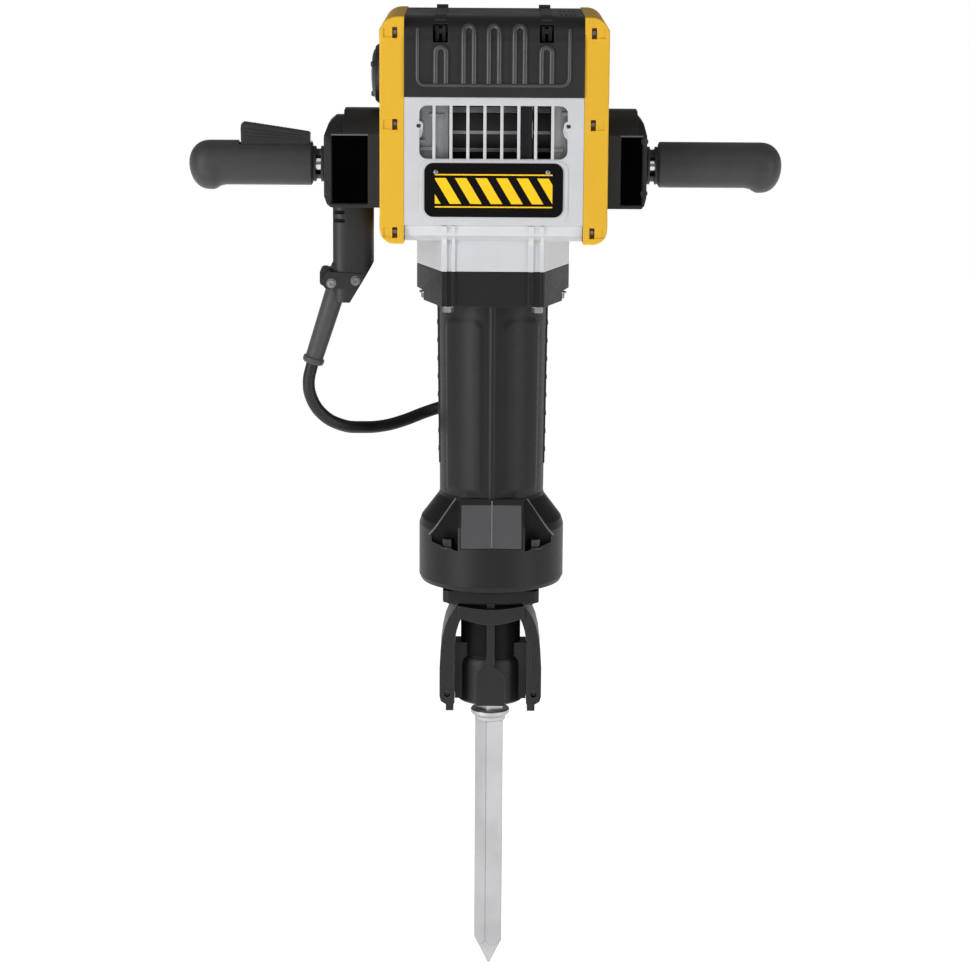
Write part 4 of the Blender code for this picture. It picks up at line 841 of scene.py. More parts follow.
straps = []
for a, b in LATCHES:
    middle = (a + b) / 2
    over = [p for p in hood_section(0.0011) if abs(p[0]) < -HOOD_FACE - 0.0085]
    under = [p for p in hood_section(-0.002) if abs(p[0]) < -HOOD_FACE - 0.01]
    strap = slab(over + list(reversed(under)), middle - 0.006, middle + 0.006, "X")
    knob = slab(rounded((0.052, hood_high.z - 0.001), (0.068, hood_high.z + 0.004), 0.0018, 4),
        middle - 0.0062, middle + 0.0062, "X")
    straps += [strap, knob]
    half_hook = [(0.0052, 0.1372), (0.0052, 0.1515), (0.003, 0.154), (0.0016, 0.15)]
    notch = [(-0.0016, 0.1372), (-0.0016, 0.145), (0.0016, 0.145), (0.0016, 0.1372)]
    loop = [(-half_hook[0][0], half_hook[0][1])] + notch + half_hook + [
        (-x, z) for x, z in reversed(half_hook[1:])]
    straps += [slab([(middle + x, z) for x, z in loop], face * 0.0745, face * 0.085) for face in (-1, 1)]
fit(eased(joined(straps), 0.0006, 2), "hood_latches", handle_nylon)
print("ribs", len(ribs), "latches", len(LATCHES) * 2)

# %% [markdown]
# ## The silver casting
#
# The gear case is one die casting: four walls round the gears, an open grille at the front where
# the motor's air leaves, and an eight-sided neck that carries the barrel. It is built as a founder
# thinks of it: a block and a neck joined, hollowed, then the grille opened and its bars and screw
# bosses put back. The neck's ribs carry on down the black collar below.

# %% Gear case
case_low, case_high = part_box("crankcase_casting")
cover_low, cover_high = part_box("right_side_cover")
CASE_FOOT = cover_low.z + 0.002
NECK_FOOT, COLLAR_FOOT = -0.105, -0.143
NECK_FRONT = 0.079
NECK = [(0.0545, -NECK_FRONT), (0.082, -0.012), (0.082, 0.012), (0.0545, NECK_FRONT)]
NECK += [(-x, y) for x, y in reversed(NECK)]
NECK_RIBS = ((-0.0545, -0.049), (-0.0435, -0.0403), (0.0373, 0.0425), (0.05, 0.0535))


def neck_ribs(low, high, proud):
    """The upright ribs of the neck, front and back."""
    return [slab([(-f * x0, f * (NECK_FRONT + proud)), (-f * x1, f * (NECK_FRONT + proud)),
        (-f * x1, f * 0.07), (-f * x0, f * 0.07)], low, high, "Z")
            for x0, x1 in NECK_RIBS for f in (-1, 1)]


LEDGE_Z = -0.0535
half_case = [(case_high.y, case_high.z), (case_high.y, LEDGE_Z), (case_high.y - 0.003, LEDGE_Z - 0.0018),
    (case_high.y - 0.0062, -0.0655), (case_high.y - 0.015, CASE_FOOT)]
case = slab([(-y, z) for y, z in half_case] + half_case[::-1], case_low.x, case_high.x, "X")
ledge_line = [(0.0945, LEDGE_Z - 0.0015), (0.0935, LEDGE_Z - 0.006), (0.0838, CASE_FOOT + 0.001),
    (0.0812, CASE_FOOT - 0.006), (0.0812, NECK_FOOT), (0.07, NECK_FOOT), (0.07, LEDGE_Z - 0.0015)]
ledge_ribs = [slab([(f * y, z) for y, z in ledge_line], -f * x0, -f * x1, "X") for x0, x1 in NECK_RIBS
    for f in (-1, 1)]
neck = slab(NECK, NECK_FOOT, CASE_FOOT + 0.02, "Z")
shield = [slab(rounded((-0.0775, -0.05), (0.0775, 0.0142), 0.011), f * 0.0945, f * 0.0962) for f in (-1, 1)]
join(case, neck, *ledge_ribs, *shield)
half_room = [(0.0868, 0.12), (0.0868, LEDGE_Z + 0.01), (0.07, CASE_FOOT + 0.0085)]
room = slab([(-y, z) for y, z in half_room] + half_room[::-1], case_low.x + 0.0075, -case_low.x - 0.0075, "X")
bore = rod(0.039, 0.02, -0.14)
grille_hole = slab(rounded((-0.078, 0.0155), (0.077, 0.0712), 0.008), -0.11, -0.08)
rear_holes = row([(-0.066 + 0.012 * i, 0.0935, 0.045) for i in range(12)], (0.0065, 0.02, 0.05))
cut(case, room, bore, grille_hole, rear_holes)
BOSS_X, BOSS_Z = (-0.079, 0.078), 0.05
bosses = [rod(0.005, -0.094, -0.084, "Y", (x, 0, BOSS_Z), 40) for x in BOSS_X]
corners = [slab(arc(0.012, (x, 0.045), 0, 330, 12), -0.09, -0.084) for x in (-0.086, 0.084)]
join(case, *bosses, *corners)
eased(case, 0.0009, 3)
fit(case, "gear_case", silver_coat, ["crankcase_casting"])
bars = row([(-0.0626 + 0.0177 * i, -0.0912, 0.0433) for i in range(8)], (0.0032, 0.0072, 0.0585))
eased(bars, 0.0006, 2)
fit(bars, "grille_bars", silver_coat)
print("case", len(case.data.polygons), "faces, 8 bars")

# %% [markdown]
# What shows between the bars: a cast bearing wall at the left and the right, and a round plastic
# baffle that guides the motor's air, with three thin bands round it in pale bare casting: painted
# highlight lines on the dark baffle. The grille's bars are a row of slim blocks, and these stand just
# behind.

# %% Behind the grille
inner_wall = slab(rounded((-0.0855, 0.008), (-0.0475, 0.0795), 0.003), -0.08, -0.076)
webs = row([(-0.08, -0.082, 0.033), (-0.06, -0.0805, 0.06), (-0.07, -0.081, 0.025)], (0.016, 0.006, 0.0035))
right_wall = slab(rounded((0.06, 0.008), (0.0855, 0.0795), 0.003), -0.08, -0.0765)
right_webs = row([(0.068, -0.0815, 0.024), (0.076, -0.0815, 0.062)], (0.01, 0.004, 0.004))
join(inner_wall, webs, right_wall, right_webs)
eased(inner_wall, 0.0008, 2)
fit(inner_wall, "bearing_wall", rough_casting)
shroud_section = arc(0.064, (0.0, 0.043), 225, -90, 24) + arc(0.062, (0.0, 0.043), 135, 90, 24)
shroud = slab(shroud_section, -0.0455, 0.027, "X")
gear_guard = slab(shroud_section, 0.0405, 0.06, "X")
join(shroud, gear_guard)
eased(shroud, 0.0004, 2)
fit(shroud, "air_baffle", handle_nylon, ["air_shroud"])
# The bands are pale bare casting: painted highlight lines on the dark baffle.
BAND_ANGLES = ((-19, 2.6), (2, 1.6), (19, 1.8))
bands = [slab(arc(0.0656, (0.0, 0.043), 180 + lean + half, -2 * half, 4) + arc(0.0642, (0.0, 0.043),
    180 + lean - half, 2 * half, 4), low, high, "X")
         for lean, half in BAND_ANGLES for low, high in ((-0.045, 0.0265), (0.041, 0.0595))]
fit(eased(joined(bands), 0.0002, 1), "baffle_bands", rough_casting)
print("behind the grille: wall and baffle")

# %% [markdown]
# ## The yellow side covers
#
# Each cover is a deep moulded cap on the side of the head. Seen from the front it is a flat rail
# 14 mm wide that rolls away over the outer edge, with its outer corners well rounded. Three
# screws hold its front and three its back; each sits in a square pocket at the end of a shallow
# driver's channel. The cover is one outline pushed from front to back, with its rims rolled.

# %% Covers
POCKETS = (0.1465, 0.0515, -0.0618)


def side_cover(mark):
    """One deep cap: mark is -1 for the left side and 1 for the right."""
    inner, low, high, big = mark * 0.094, cover_low.z, cover_high.z, 0.0185
    loop = [(0.094, low), *arc(0.015, (cover_high.x - 0.015, low + 0.015), 270, 90, 8),
            *arc(big, (cover_high.x - big, high - big), 0, 90, 10), (0.094, high)]
    body = slab([(mark * x, z) for x, z in loop], cover_low.y, cover_high.y, "Y")
    work = bmesh.new()
    work.from_mesh(body.data)
    rims = [e for e in work.edges if all(abs(abs(v.co.y) - cover_high.y) < 1e-5 for v in e.verts)
            and not all(abs(v.co.x - inner) < 1e-5 for v in e.verts)]
    bmesh.ops.bevel(work, geom=rims, offset=0.0095, segments=7, profile=0.5, affect="EDGES",
        clamp_overlap=True)
    work.to_mesh(body.data)
    work.free()
    tools = []
    for height in POCKETS:
        for face in (-1, 1):
            y = face * cover_high.y
            tools.append(block((mark * 0.1008, y - face * 0.012, height - 0.006),
                (mark * 0.1062, y + face, height + 0.0055)))
            ramp = [(mark * 0.1059, y - face * 0.0009), (mark * 0.1155, y - face * 0.0013),
                (mark * 0.1155, y + face * 0.01), (mark * 0.1059, y + face * 0.01)]
            tools.append(slab(ramp, height - 0.0052, height + 0.0048, "Z"))
    tools.append(block((inner - mark * 0.01, cover_low.y + 0.016, low + 0.016),
        (mark * 0.108, cover_high.y - 0.016, high - 0.016)))
    return cut(body, *tools)


for mark, node, name in ((-1, "left_side_cover", "left_cover"), (1, "right_side_cover", "right_cover")):
    shell = eased(side_cover(mark), 0.0007, 2)
    fit(shell, name, yellow_nylon, [node])
    gasket = block((mark * 0.0934, -0.0925, cover_low.z + 0.003),
        (mark * 0.0941, 0.0925, cover_high.z - 0.003))
    fit(eased(gasket, 0.0002, 1), name + "_gasket", strap_rubber)
spots = [((mark * 0.1035, face * (cover_high.y - 0.01), z), (0, face, 0)) for mark in (-1, 1) for z in POCKETS
    for face in (-1, 1)]
screws("cover_screws", spots, 0.0024, 0.002, screw_zinc, washer=1.05)
print("covers and", len(spots), "screws")

# %% [markdown]
# Raised panels stiffen the outer wall of each cover. The right one has nine cooling slots; the
# left one is short, to leave room for the motor's end cap.

# %% Side panels of the covers
for mark in (-1, 1):
    x = mark * (cover_high.x + 0.0012)
    span = (x, mark * (cover_high.x - 0.002), "X")
    panel = slab(rounded((-0.07, 0.068), (0.07, 0.148), 0.012) if mark > 0 else
                 rounded((-0.07, 0.134), (0.07, 0.148), 0.006), *span)
    if mark > 0:
        cut(panel, row([(x, -0.05 + 0.0125 * i, 0.108) for i in range(9)], (0.008, 0.0055, 0.052)))
    join(panel, slab(rounded((-0.07, -0.062), (0.07, -0.048), 0.006), *span))
    eased(panel, 0.0006, 2)
    fit(panel, ("left" if mark < 0 else "right") + "_cover_panels", yellow_nylon)

# %% [markdown]
# ## The motor's end cap
#
# A round black cap closes the left end of the motor. Only its domed edge shows from the front.
# It is turned, with two ring grooves, and held by three screws.

# %% End cap
cap_low, cap_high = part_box("motor_end_cap")
axis_z, cap_r = (cap_low.z + cap_high.z) / 2, (cap_high.z - cap_low.z) / 2
rim = -cover_high.x - 0.0003
rings = [(0, 0), (0.009, 0.0002), (0.0095, 0.0012), (0.0105, 0.0012), (0.011, 0.0004), (0.019, 0.0012),
    (0.024, 0.0026), (0.0262, 0.0042), (0.0275, 0.0044), (0.029, 0.0048), (0.0305, 0.0066),
    (cap_r, 0.009)]
dome = [(r, cap_low.x + deep) for r, deep in rings] + [(cap_r, rim), (0, rim)]
fit(eased(turned(dome, "X", (0, 0, axis_z), 72), 0.0004, 2, 20), "motor_cap", hood_nylon, ["motor_end_cap"])
cap_spots = [((cap_low.x + 0.0022, 0.0215 * math.cos(k), axis_z + 0.0215 * math.sin(k)), (-1, 0, 0))
    for k in (0.5, 2.6, 4.7)]
screws("motor_cap_screws", cap_spots, 0.0026, 0.0016, black_screw)
print("cap radius", round(cap_r * 1000, 1), "mm")

# %% [markdown]
# ## The plate
#
# The plate sits proud of the case in a raised frame, riveted at its upper corners.

# %% Plate and rivets
plate = slab(rounded((plate_low.x, plate_low.z), (plate_high.x, plate_high.z), 0.0095, 8), plate_low.y,
    plate_high.y)
eased(plate, 0.0007, 3)
fit(plate, "front_plate", plate_print, ["name_plate"])
rivet = [(0, 0.001), (0.0014, 0.0009), (0.0024, 0.0005), (0.0029, -0.0005), (0, -0.0005)]
heads = [turned([(r, plate_low.y - h) for r, h in rivet], "Y", (x, 0, 0.0022), 24) for x in (-0.0606, 0.0566)]
rivets = joined(heads)
rivets.data.shade_smooth()
fit(rivets, "plate_rivets", screw_zinc)
screws("grille_screws", [((x, -0.094, BOSS_Z), FRONTWARD) for x in BOSS_X], 0.002, 0.001, black_screw,
    washer=1.2)

# %% [markdown]
# ## Collar and barrel
#
# Below the neck a black collar of the same eight-sided outline clamps the barrel with four bolts at
# the sides and four at the front and back. The barrel is a cast tube that narrows by 3 mm,
# with a rib down its seam, a rail on each side with small teeth, and two broad shallow panels at the
# front. A tube that varies both round and along is easiest as a wrapped grid: the radius is a
# function of angle and height.

# %% Collar
collar = slab(NECK, COLLAR_FOOT, NECK_FOOT - 0.0003, "Z")
join(collar, *neck_ribs(COLLAR_FOOT + 0.001, NECK_FOOT - 0.0003, 0.003))
undercut = [(0.084, 0.012), (0.084, -0.01), (0.06, -0.01), (0.064, 0.0085)]
cut(collar, rod(0.039, 0, -0.2), *[slab([(s * x, COLLAR_FOOT + z) for x, z in undercut], -0.03, 0.03)
    for s in (-1, 1)])
eased(collar, 0.0011, 3)
fit(collar, "barrel_clamp_collar", black_coat, ["barrel_collar"])
bolt_spots = [((s * 0.0715, y, COLLAR_FOOT + 0.0075), DOWNWARD) for s in (-1, 1) for y in (-0.016, 0.016)]
bolt_spots += [((x, s * 0.069, COLLAR_FOOT - 0.0002), DOWNWARD) for x in (-0.0475, 0.0475) for s in (-1, 1)]
screws("collar_bolts", bolt_spots, 0.006, 0.0062, screw_zinc, sides=6, socket=0.35, washer=1.35)
print("collar bolts", len(bolt_spots))

# %% [markdown]
# A wrapped tube starts as a grid of angles and heights whose radius comes from a function, so
# ribs and flares cost nothing extra. A plain round hole is left inside for the drive.

# %% Wrapped tubes
def wrapped(radius_at, low, high, hole, steps=144, rows=60):
    """A tube whose outer radius is a function of angle and height, with a plain round hole."""
    heights = [high + (low - high) * j / (rows - 1) for j in range(rows)]
    turns = [2 * math.pi * i / steps for i in range(steps)]
    points = [(radius_at(k, z) * math.cos(k), radius_at(k, z) * math.sin(k), z) for z in heights
        for k in turns]
    points += [(hole * math.cos(k), hole * math.sin(k), z) for z in (low, high) for k in turns]
    faces = []
    for j in range(rows + 1):
        a, b = j * steps, (j + 1) * steps
        faces += [(a + i, a + (i + 1) % steps, b + (i + 1) % steps, b + i) for i in range(steps)]
    last = (rows + 1) * steps
    faces += [(last + i, last + (i + 1) % steps, (i + 1) % steps, i) for i in range(steps)]
    return from_faces("wrapped", points, faces)


def smooth_step(value, low, high):
    share = min(1.0, max(0.0, (value - low) / (high - low)))
    return share * share * (3 - 2 * share)


def from_front(angle):
    """Degrees round from the front, negative towards the left handle."""
    return (math.degrees(angle) + 90 + 180) % 360 - 180


# %% [markdown]
# The radius shrinks steadily down the tube. Two broad panels are raised by a millimetre at the
# front and again at the back, each round-topped, and a narrow seam stands between them. The side
# rails with their teeth are put on as separate castings.

# %% Barrel tube
tube_low, tube_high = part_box("barrel_tube")
top_radius, foot_radius = tube_high.x, 0.0576


def tube_radius(angle, z):
    along = (tube_high.z - z) / (tube_high.z - tube_low.z)
    base = top_radius + (foot_radius - top_radius) * along - 0.0008
    off = from_front(angle)
    off = off if abs(off) < 90 else (180 - abs(off)) * (1 if off > 0 else -1)
    round_top = 0.0065 * max(0.0, abs(abs(off) - 34) / 22 - 0.55) ** 2 * 4
    panel = smooth_step(abs(off), 9, 13) * (1 - smooth_step(abs(off), 55, 60))
    panel *= smooth_step(z, tube_low.z + 0.004, tube_low.z + 0.008) * (
        1 - smooth_step(z, tube_high.z - 0.0265 - round_top, tube_high.z - 0.023 - round_top))
    seam = 1 - smooth_step(abs(off), 1.2, 2.0)
    return base + 0.001 * panel + 0.0016 * seam


barrel = wrapped(tube_radius, tube_low.z, tube_high.z, 0.052, 240, 90)
fit(softened(barrel, 50), "barrel_casting", black_coat, ["barrel_tube"])
rail_top, rail_foot = tube_high.z - 0.006, tube_low.z + 0.03
rail_line = [(0.0601, rail_top), (0.055, rail_top), (0.054, rail_foot), (0.0578, rail_foot)]
rails, other_rail = [slab([(s * x, z) for x, z in rail_line], -0.0085, 0.0085) for s in (-1, 1)]
teeth = row([(s * (0.06 - 0.0021 * i / 8), 0, rail_top - 0.008 - 0.02 * i) for s in (-1, 1)
    for i in range(9)], (0.0014, 0.012, 0.0036))
join(rails, other_rail, teeth)
eased(rails, 0.0004, 2)
fit(rails, "barrel_side_rails", nose_coat)
print("barrel", round(tube_high.x * 1000, 1), "mm radius")

# %% [markdown]
# ## The bell and its flange
#
# At the foot the barrel flares into a bell that holds the front head's bolts. Four three-cornered
# bays are cast into the flare, two at the front and two at the back, each with a hexagon bolt on its
# floor; between them stands a broad flat-faced boss. Under the bell a square flange takes the nose.

# %% Bell
bell_low, bell_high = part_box("nose_bell")
BELL_R, BELL_FOOT = bell_high.x, bell_low.z + 0.0097
SHOULDER_Z, CHAMFER_Z = bell_high.z - 0.034, bell_low.z + 0.0185
BELL_PROFILE = [(bell_high.z, 0.0567), (bell_high.z - 0.0045, 0.0578), (SHOULDER_Z + 0.0045, 0.0766),
    (SHOULDER_Z - 0.0035, BELL_R), (CHAMFER_Z + 0.003, BELL_R), (CHAMFER_Z - 0.002, BELL_R - 0.0025),
    (BELL_FOOT, 0.056)]


def bell_radius(angle, z):
    for (z0, r0), (z1, r1) in zip(BELL_PROFILE, BELL_PROFILE[1:]):
        if z1 - 1e-9 <= z <= z0:
            return r0 + (r1 - r0) * (z0 - z) / (z0 - z1)
    return BELL_PROFILE[-1][1]


bell = wrapped(bell_radius, BELL_FOOT, bell_high.z, 0.0518, 192, 110)
PAD_TOP, PAD_FOOT, PAD_SIDE = -0.356, -0.4075, (-0.0335, 0.0345)
bays = []
for face in (-1, 1):
    def boss(depth):
        """A block behind the boss's sloping face, or, to trim it, in front."""
        line = [(0.059, PAD_TOP), (0.0776, PAD_FOOT), (depth, PAD_FOOT), (depth, PAD_TOP)]
        return slab([(face * y, z) for y, z in line], *[-face * x for x in PAD_SIDE], "X")

    join(bell, boss(0.053))
    cut(bell, boss(0.1))
    for s in (-1, 1):
        loop = [(s * 0.0362, -0.359), (s * 0.0655, -0.3985), (s * 0.0648, -0.406), (s * 0.0362, -0.4112)]
        bays.append(slab(loop, face * 0.1, face * 0.04))
cut(bell, *bays)
eased(bell, 0.0006, 2, 40)
fit(bell, "bell_casting", black_coat, ["nose_bell"])
# The boss's sloping face is skinned in a lighter black: painted light where it faces up towards the lamps.
skin = [(0.0593, PAD_TOP - 0.001), (0.0777, PAD_FOOT + 0.0012), (0.076, PAD_FOOT + 0.0012),
    (0.0578, PAD_TOP - 0.001)]
boss_faces = [slab([(f * y, z) for y, z in skin], -0.0325, 0.0325, "X") for f in (-1, 1)]
fit(eased(joined(boss_faces), 0.0003, 1), "bell_boss_faces", lit_boss_coat)


def on_bell(x, z, face):
    """A point just proud of the bell's surface."""
    r = bell_radius(0, z) + 0.0004
    return (x, face * math.sqrt(max(1e-6, r * r - x * x)), z)


# The rims of the bays and the line down each boss are lighter copies of the black coat: painted highlight
# lines.
rims = [[on_bell(s * (0.0385 + 0.029 * i / 12), -0.3585 - 0.04 * i / 12, face) for i in range(13)]
    for s in (-1, 1) for face in (-1, 1)]
rims += [[(0.0006, f * 0.059, PAD_TOP - 0.002), (0.0006, f * 0.0768, PAD_FOOT + 0.0022)] for f in (-1, 1)]
bay_rims = beads(rims, 0.001, highlight_edge_coat)
bay_rims.data.shade_smooth()
fit(bay_rims, "bay_rims", highlight_edge_coat)
bay_spots = [((s * 0.0465, f * 0.057, -0.4092), UPWARD) for s in (-1, 1) for f in (-1, 1)]
screws("bay_bolts", bay_spots, 0.0062, 0.009, black_screw, sides=6, socket=0.0, washer=1.35)

# %% [markdown]
# The flange is a thick plate with rounded corners and a smaller step below it, bored for the
# nose, and held from below by four nuts.

# %% Flange
flange_low, flange_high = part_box("nose_flange")
FLANGE_TOP, FLANGE_FOOT, FLANGE_DEEP = BELL_FOOT - 0.0002, BELL_FOOT - 0.014, 0.0405
flange = slab(rounded((flange_low.x, -FLANGE_DEEP), (flange_high.x, FLANGE_DEEP), 0.008), FLANGE_FOOT,
    FLANGE_TOP, "Z")
lower_step = slab(rounded((flange_low.x + 0.016, -0.037), (flange_high.x - 0.016, 0.037), 0.01),
    FLANGE_FOOT - 0.0025, FLANGE_FOOT + 0.001, "Z")
join(flange, lower_step)
cut(flange, rod(0.0335, -0.4, -0.5))
eased(flange, 0.0009, 2)
fit(flange, "nose_flange_plate", black_coat, ["nose_flange"])
nut_spots = [((x, y, FLANGE_FOOT), DOWNWARD) for x in (-0.0425, 0.0425) for y in (-0.03, 0.03)]
screws("flange_nuts", nut_spots, 0.0056, 0.0022, black_screw, sides=6, socket=0.0, washer=1.2)
print("bell radius", round(BELL_R * 1000, 1), "mm")

# %% [markdown]
# ## The nose and its retainer
#
# The nose holds the chisel's hexagonal shank: a round neck above, a wider dome below with a
# round-topped pad at the front, and a stiffening web that runs from the pad up to the flange. Round
# it hangs the retainer, a forged fork whose two arms curve out like brackets, joined by a sagging
# band across the front. It swings forward on its cross pin to let the chisel go.

# %% Nose
nose_low, nose_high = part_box("tool_holder")
DOME_R, DOME_TOP, NECK_R = 0.0372, -0.541, 0.0318
nose = turned([(NECK_R, FLANGE_FOOT - 0.0004), (NECK_R, DOME_TOP), (NECK_R + 0.0025, DOME_TOP - 0.0016),
    (NECK_R + 0.0046, DOME_TOP - 0.0052), (DOME_R, DOME_TOP - 0.011), (DOME_R, nose_low.z + 0.002),
    (DOME_R - 0.002, nose_low.z), (0.024, nose_low.z), (0.024, FLANGE_FOOT - 0.0004)], steps=128, ring=True)
tower_top = -0.5655
tower = slab([(-0.016, nose_low.z + 0.0004), *reversed(arc(0.016, (0, tower_top), 0, 180, 20)),
    (0.016, nose_low.z + 0.0004)], -0.0392, -0.026, "Y")
web = slab([(-0.0042, FLANGE_FOOT - 0.001), (0.0042, FLANGE_FOOT - 0.001), (0.0042, tower_top + 0.009),
    (-0.0042, tower_top + 0.009)], -0.0385, -0.028, "Y")
cheeks = [block((s * 0.025, -0.02, -0.59), (s * 0.0391, 0.008, -0.5265)) for s in (-1, 1)]
join(nose, tower, web, *cheeks)
clear = rod(0.024, -0.4, -0.7, steps=64)
pin_low, pin_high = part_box("retaining_pin")
pin_y, pin_z = (pin_low.y + pin_high.y) / 2, (pin_low.z + pin_high.z) / 2
pin_way = rod(0.0073, -0.1, 0.1, "X", (0, pin_y, pin_z), 40)
cut(nose, clear, pin_way)
eased(nose, 0.0012, 3)
fit(nose, "tool_holder_forging", nose_coat, ["tool_holder"])
# A sleeve on the neck, near black and matt: painted shade between the retainer's arms.
bumper = turned([(NECK_R + 0.0002, FLANGE_FOOT - 0.0006), (NECK_R + 0.0012, FLANGE_FOOT - 0.001),
    (NECK_R + 0.001, DOME_TOP + 0.0008), (NECK_R + 0.0002, DOME_TOP + 0.0004)], steps=96, ring=True)
cut(bumper, block((-0.0046, -0.05, -0.6), (0.0046, -0.02, -0.4)))
fit(eased(bumper, 0.0002, 1), "neck_bumper_sleeve", shade_sleeve_rubber)

# %% [markdown]
# The fork is forged in one piece. Each arm is a curved outline pushed from front to back; ears
# round the cross pin take the load, and grooves lighten the arms. Spring plungers in the nose
# hold it shut.

# %% Retainer
yoke_low, yoke_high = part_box("retainer_yoke")
ARM_IN, ARM_TOP, TOE = 0.0394, -0.4795, -0.5985


def fork_arm(s):
    """One arm of the fork, curved like a bracket: s is -1 for the left and 1 for the right."""
    outer = [(0.0355, 0), (0.0395, 0.003), (0.0455, 0.012), (0.05, 0.023), (0.053, 0.036), (0.055, 0.052),
        (0.056, 0.07)]
    toe = [(0.056, -0.582), (0.0545, -0.588), (0.049, -0.5915), (0.049, TOE), (0.0405, TOE),
        (0.0405, -0.5915), (ARM_IN, -0.59)]
    inner = [(ARM_IN, 0.04), (0.0372, 0.028), (0.0345, 0.019), (0.0315, 0.013)]
    loop = [(x, ARM_TOP - drop) for x, drop in outer] + toe + [(x, ARM_TOP - drop) for x, drop in inner]
    return slab([(s * x, z) for x, z in loop], yoke_low.y + 0.0035, yoke_high.y - 0.0035)


def band(front):
    """The cross band: level at its ends and sagging in the middle."""
    across = [-0.036 + 0.072 * i / 16 for i in range(17)]
    top = [(x, -0.479 - 0.0042 * math.cos(x / 0.036 * math.pi / 2)) for x in across]
    foot = [(x, -0.4922 - 0.0082 * math.cos(x / 0.036 * math.pi / 2)) for x in reversed(across)]
    return slab(top + foot, front, front + 0.011, "Y")


yoke = join(fork_arm(-1), fork_arm(1), band(yoke_low.y))
ears = [slab(arc(0.012, (pin_y, pin_z), 0, 345, 24), s * (ARM_IN + 0.0003), s * 0.0556, "X") for s in (-1, 1)]
join(yoke, *ears)
cut(yoke, rod(0.0072, -0.1, 0.1, "X", (0, pin_y, pin_z), 40))
sockets = [rod(0.0036, -0.06, yoke_low.y + 0.012, "Y", (s * 0.0475, 0, -0.58), 32) for s in (-1, 1)]
grooves = [block((s * 0.042, yoke_low.y, ARM_TOP - 0.042), (s * 0.044, yoke_low.y + 0.0043, -0.57))
    for s in (-1, 1)]
cut(yoke, *sockets, *grooves)
eased(yoke, 0.002, 3, 28)
fit(yoke, "retainer_fork", nose_coat, ["retainer_yoke"], body="retainer")
screws("retainer_screws", [((s * 0.0475, yoke_low.y + 0.011, -0.58), FRONTWARD) for s in (-1, 1)], 0.0028,
    0.003, black_screw, washer=1.0, body="retainer")
pin = turned([(0, pin_low.x), (0.006, pin_low.x), (0.0069, pin_low.x + 0.0012), (0.0069, pin_high.x - 0.0012),
    (0.006, pin_high.x), (0, pin_high.x)], "X", (0, pin_y, pin_z), 48)
fit(eased(pin, 0.0003, 2), "retainer_cross_pin", gear_steel, ["retaining_pin"], body="retainer")
plungers = [turned([(0, -0.5425), (0.0018, -0.5425), (0.0021, -0.5415), (0.0021, -0.5345), (0.0018, -0.5335),
    (0, -0.5335)], at=(s * 0.037, -0.014, 0), steps=24) for s in (-1, 1)]
fit(eased(joined(plungers), 0.0003, 2), "detent_plungers", gear_steel)
print("nose", round((nose_high.z - nose_low.z) * 1000, 1), "mm long")

# %% [markdown]
# ## The chisel
#
# A moil point: a forged hexagonal bar, 28.6 mm across its flats, with a collar that the retainer
# catches and a four-sided point. The bar is drawn corner forward. The collar is upset in the forge,
# so it has soft edges, while the point is ground, with a shallow fillet where it starts.

# %% Chisel
point_low, point_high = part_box("chisel")
FLATS, FOOT_Z = 0.0286, point_high.z - 0.148
CORNER = FLATS / math.sqrt(3)
tip = point_low.z
chisel_bar = slab(arc(CORNER, (0, 0), 30, 300, 5), tip, point_high.z, "Z")
upset = turned([(0, FOOT_Z), (0.0203, FOOT_Z), (0.0215, FOOT_Z - 0.0012), (0.0215, FOOT_Z - 0.0046),
    (0.0205, FOOT_Z - 0.0062), (0.0176, FOOT_Z - 0.0078), (0.017, FOOT_Z - 0.0125),
    (0.0162, FOOT_Z - 0.013), (0, FOOT_Z - 0.013)])
join(chisel_bar, upset)
moil = turned([(CORNER * 2, tip + 0.061), (CORNER * 2, tip - 0.01), (0.0012, tip - 0.01), (0.0012, tip),
    (CORNER * 1.02, tip + 0.032), (CORNER * 1.06, tip + 0.061)], steps=144, ring=True)
shank_notch = block((-0.04, pin_y - 0.0074, pin_z - 0.0189), (0.04, 0.04, pin_z + 0.0074))
cut(chisel_bar, moil, shank_notch)
eased(chisel_bar, 0.0007, 2, 25)
fit(chisel_bar, "moil_point_chisel", chisel_steel, ["chisel"], body="chisel")
print("chisel", round((point_high.z - tip) * 1000), "mm long,", FLATS * 1000, "mm across flats")

# %% [markdown]
# ## Handles
#
# Each handle is a chromed arm that pivots a few degrees on a cross pin inside a bracket, so the
# hands feel less of the blow. The brackets are moulded boxes with a raised step towards the machine
# and a shallow pocket in front, its floor a near-black matt sheet of painted shade so that it reads as
# deep. The grips are soft rubber sleeves that droop into a knob at the end; the left one has a slot for
# the switch lever.

# %% Brackets
ARM_R, ARM_PLAY, HANDLE_SWING = 0.011, 0.0015, math.radians(3.0)


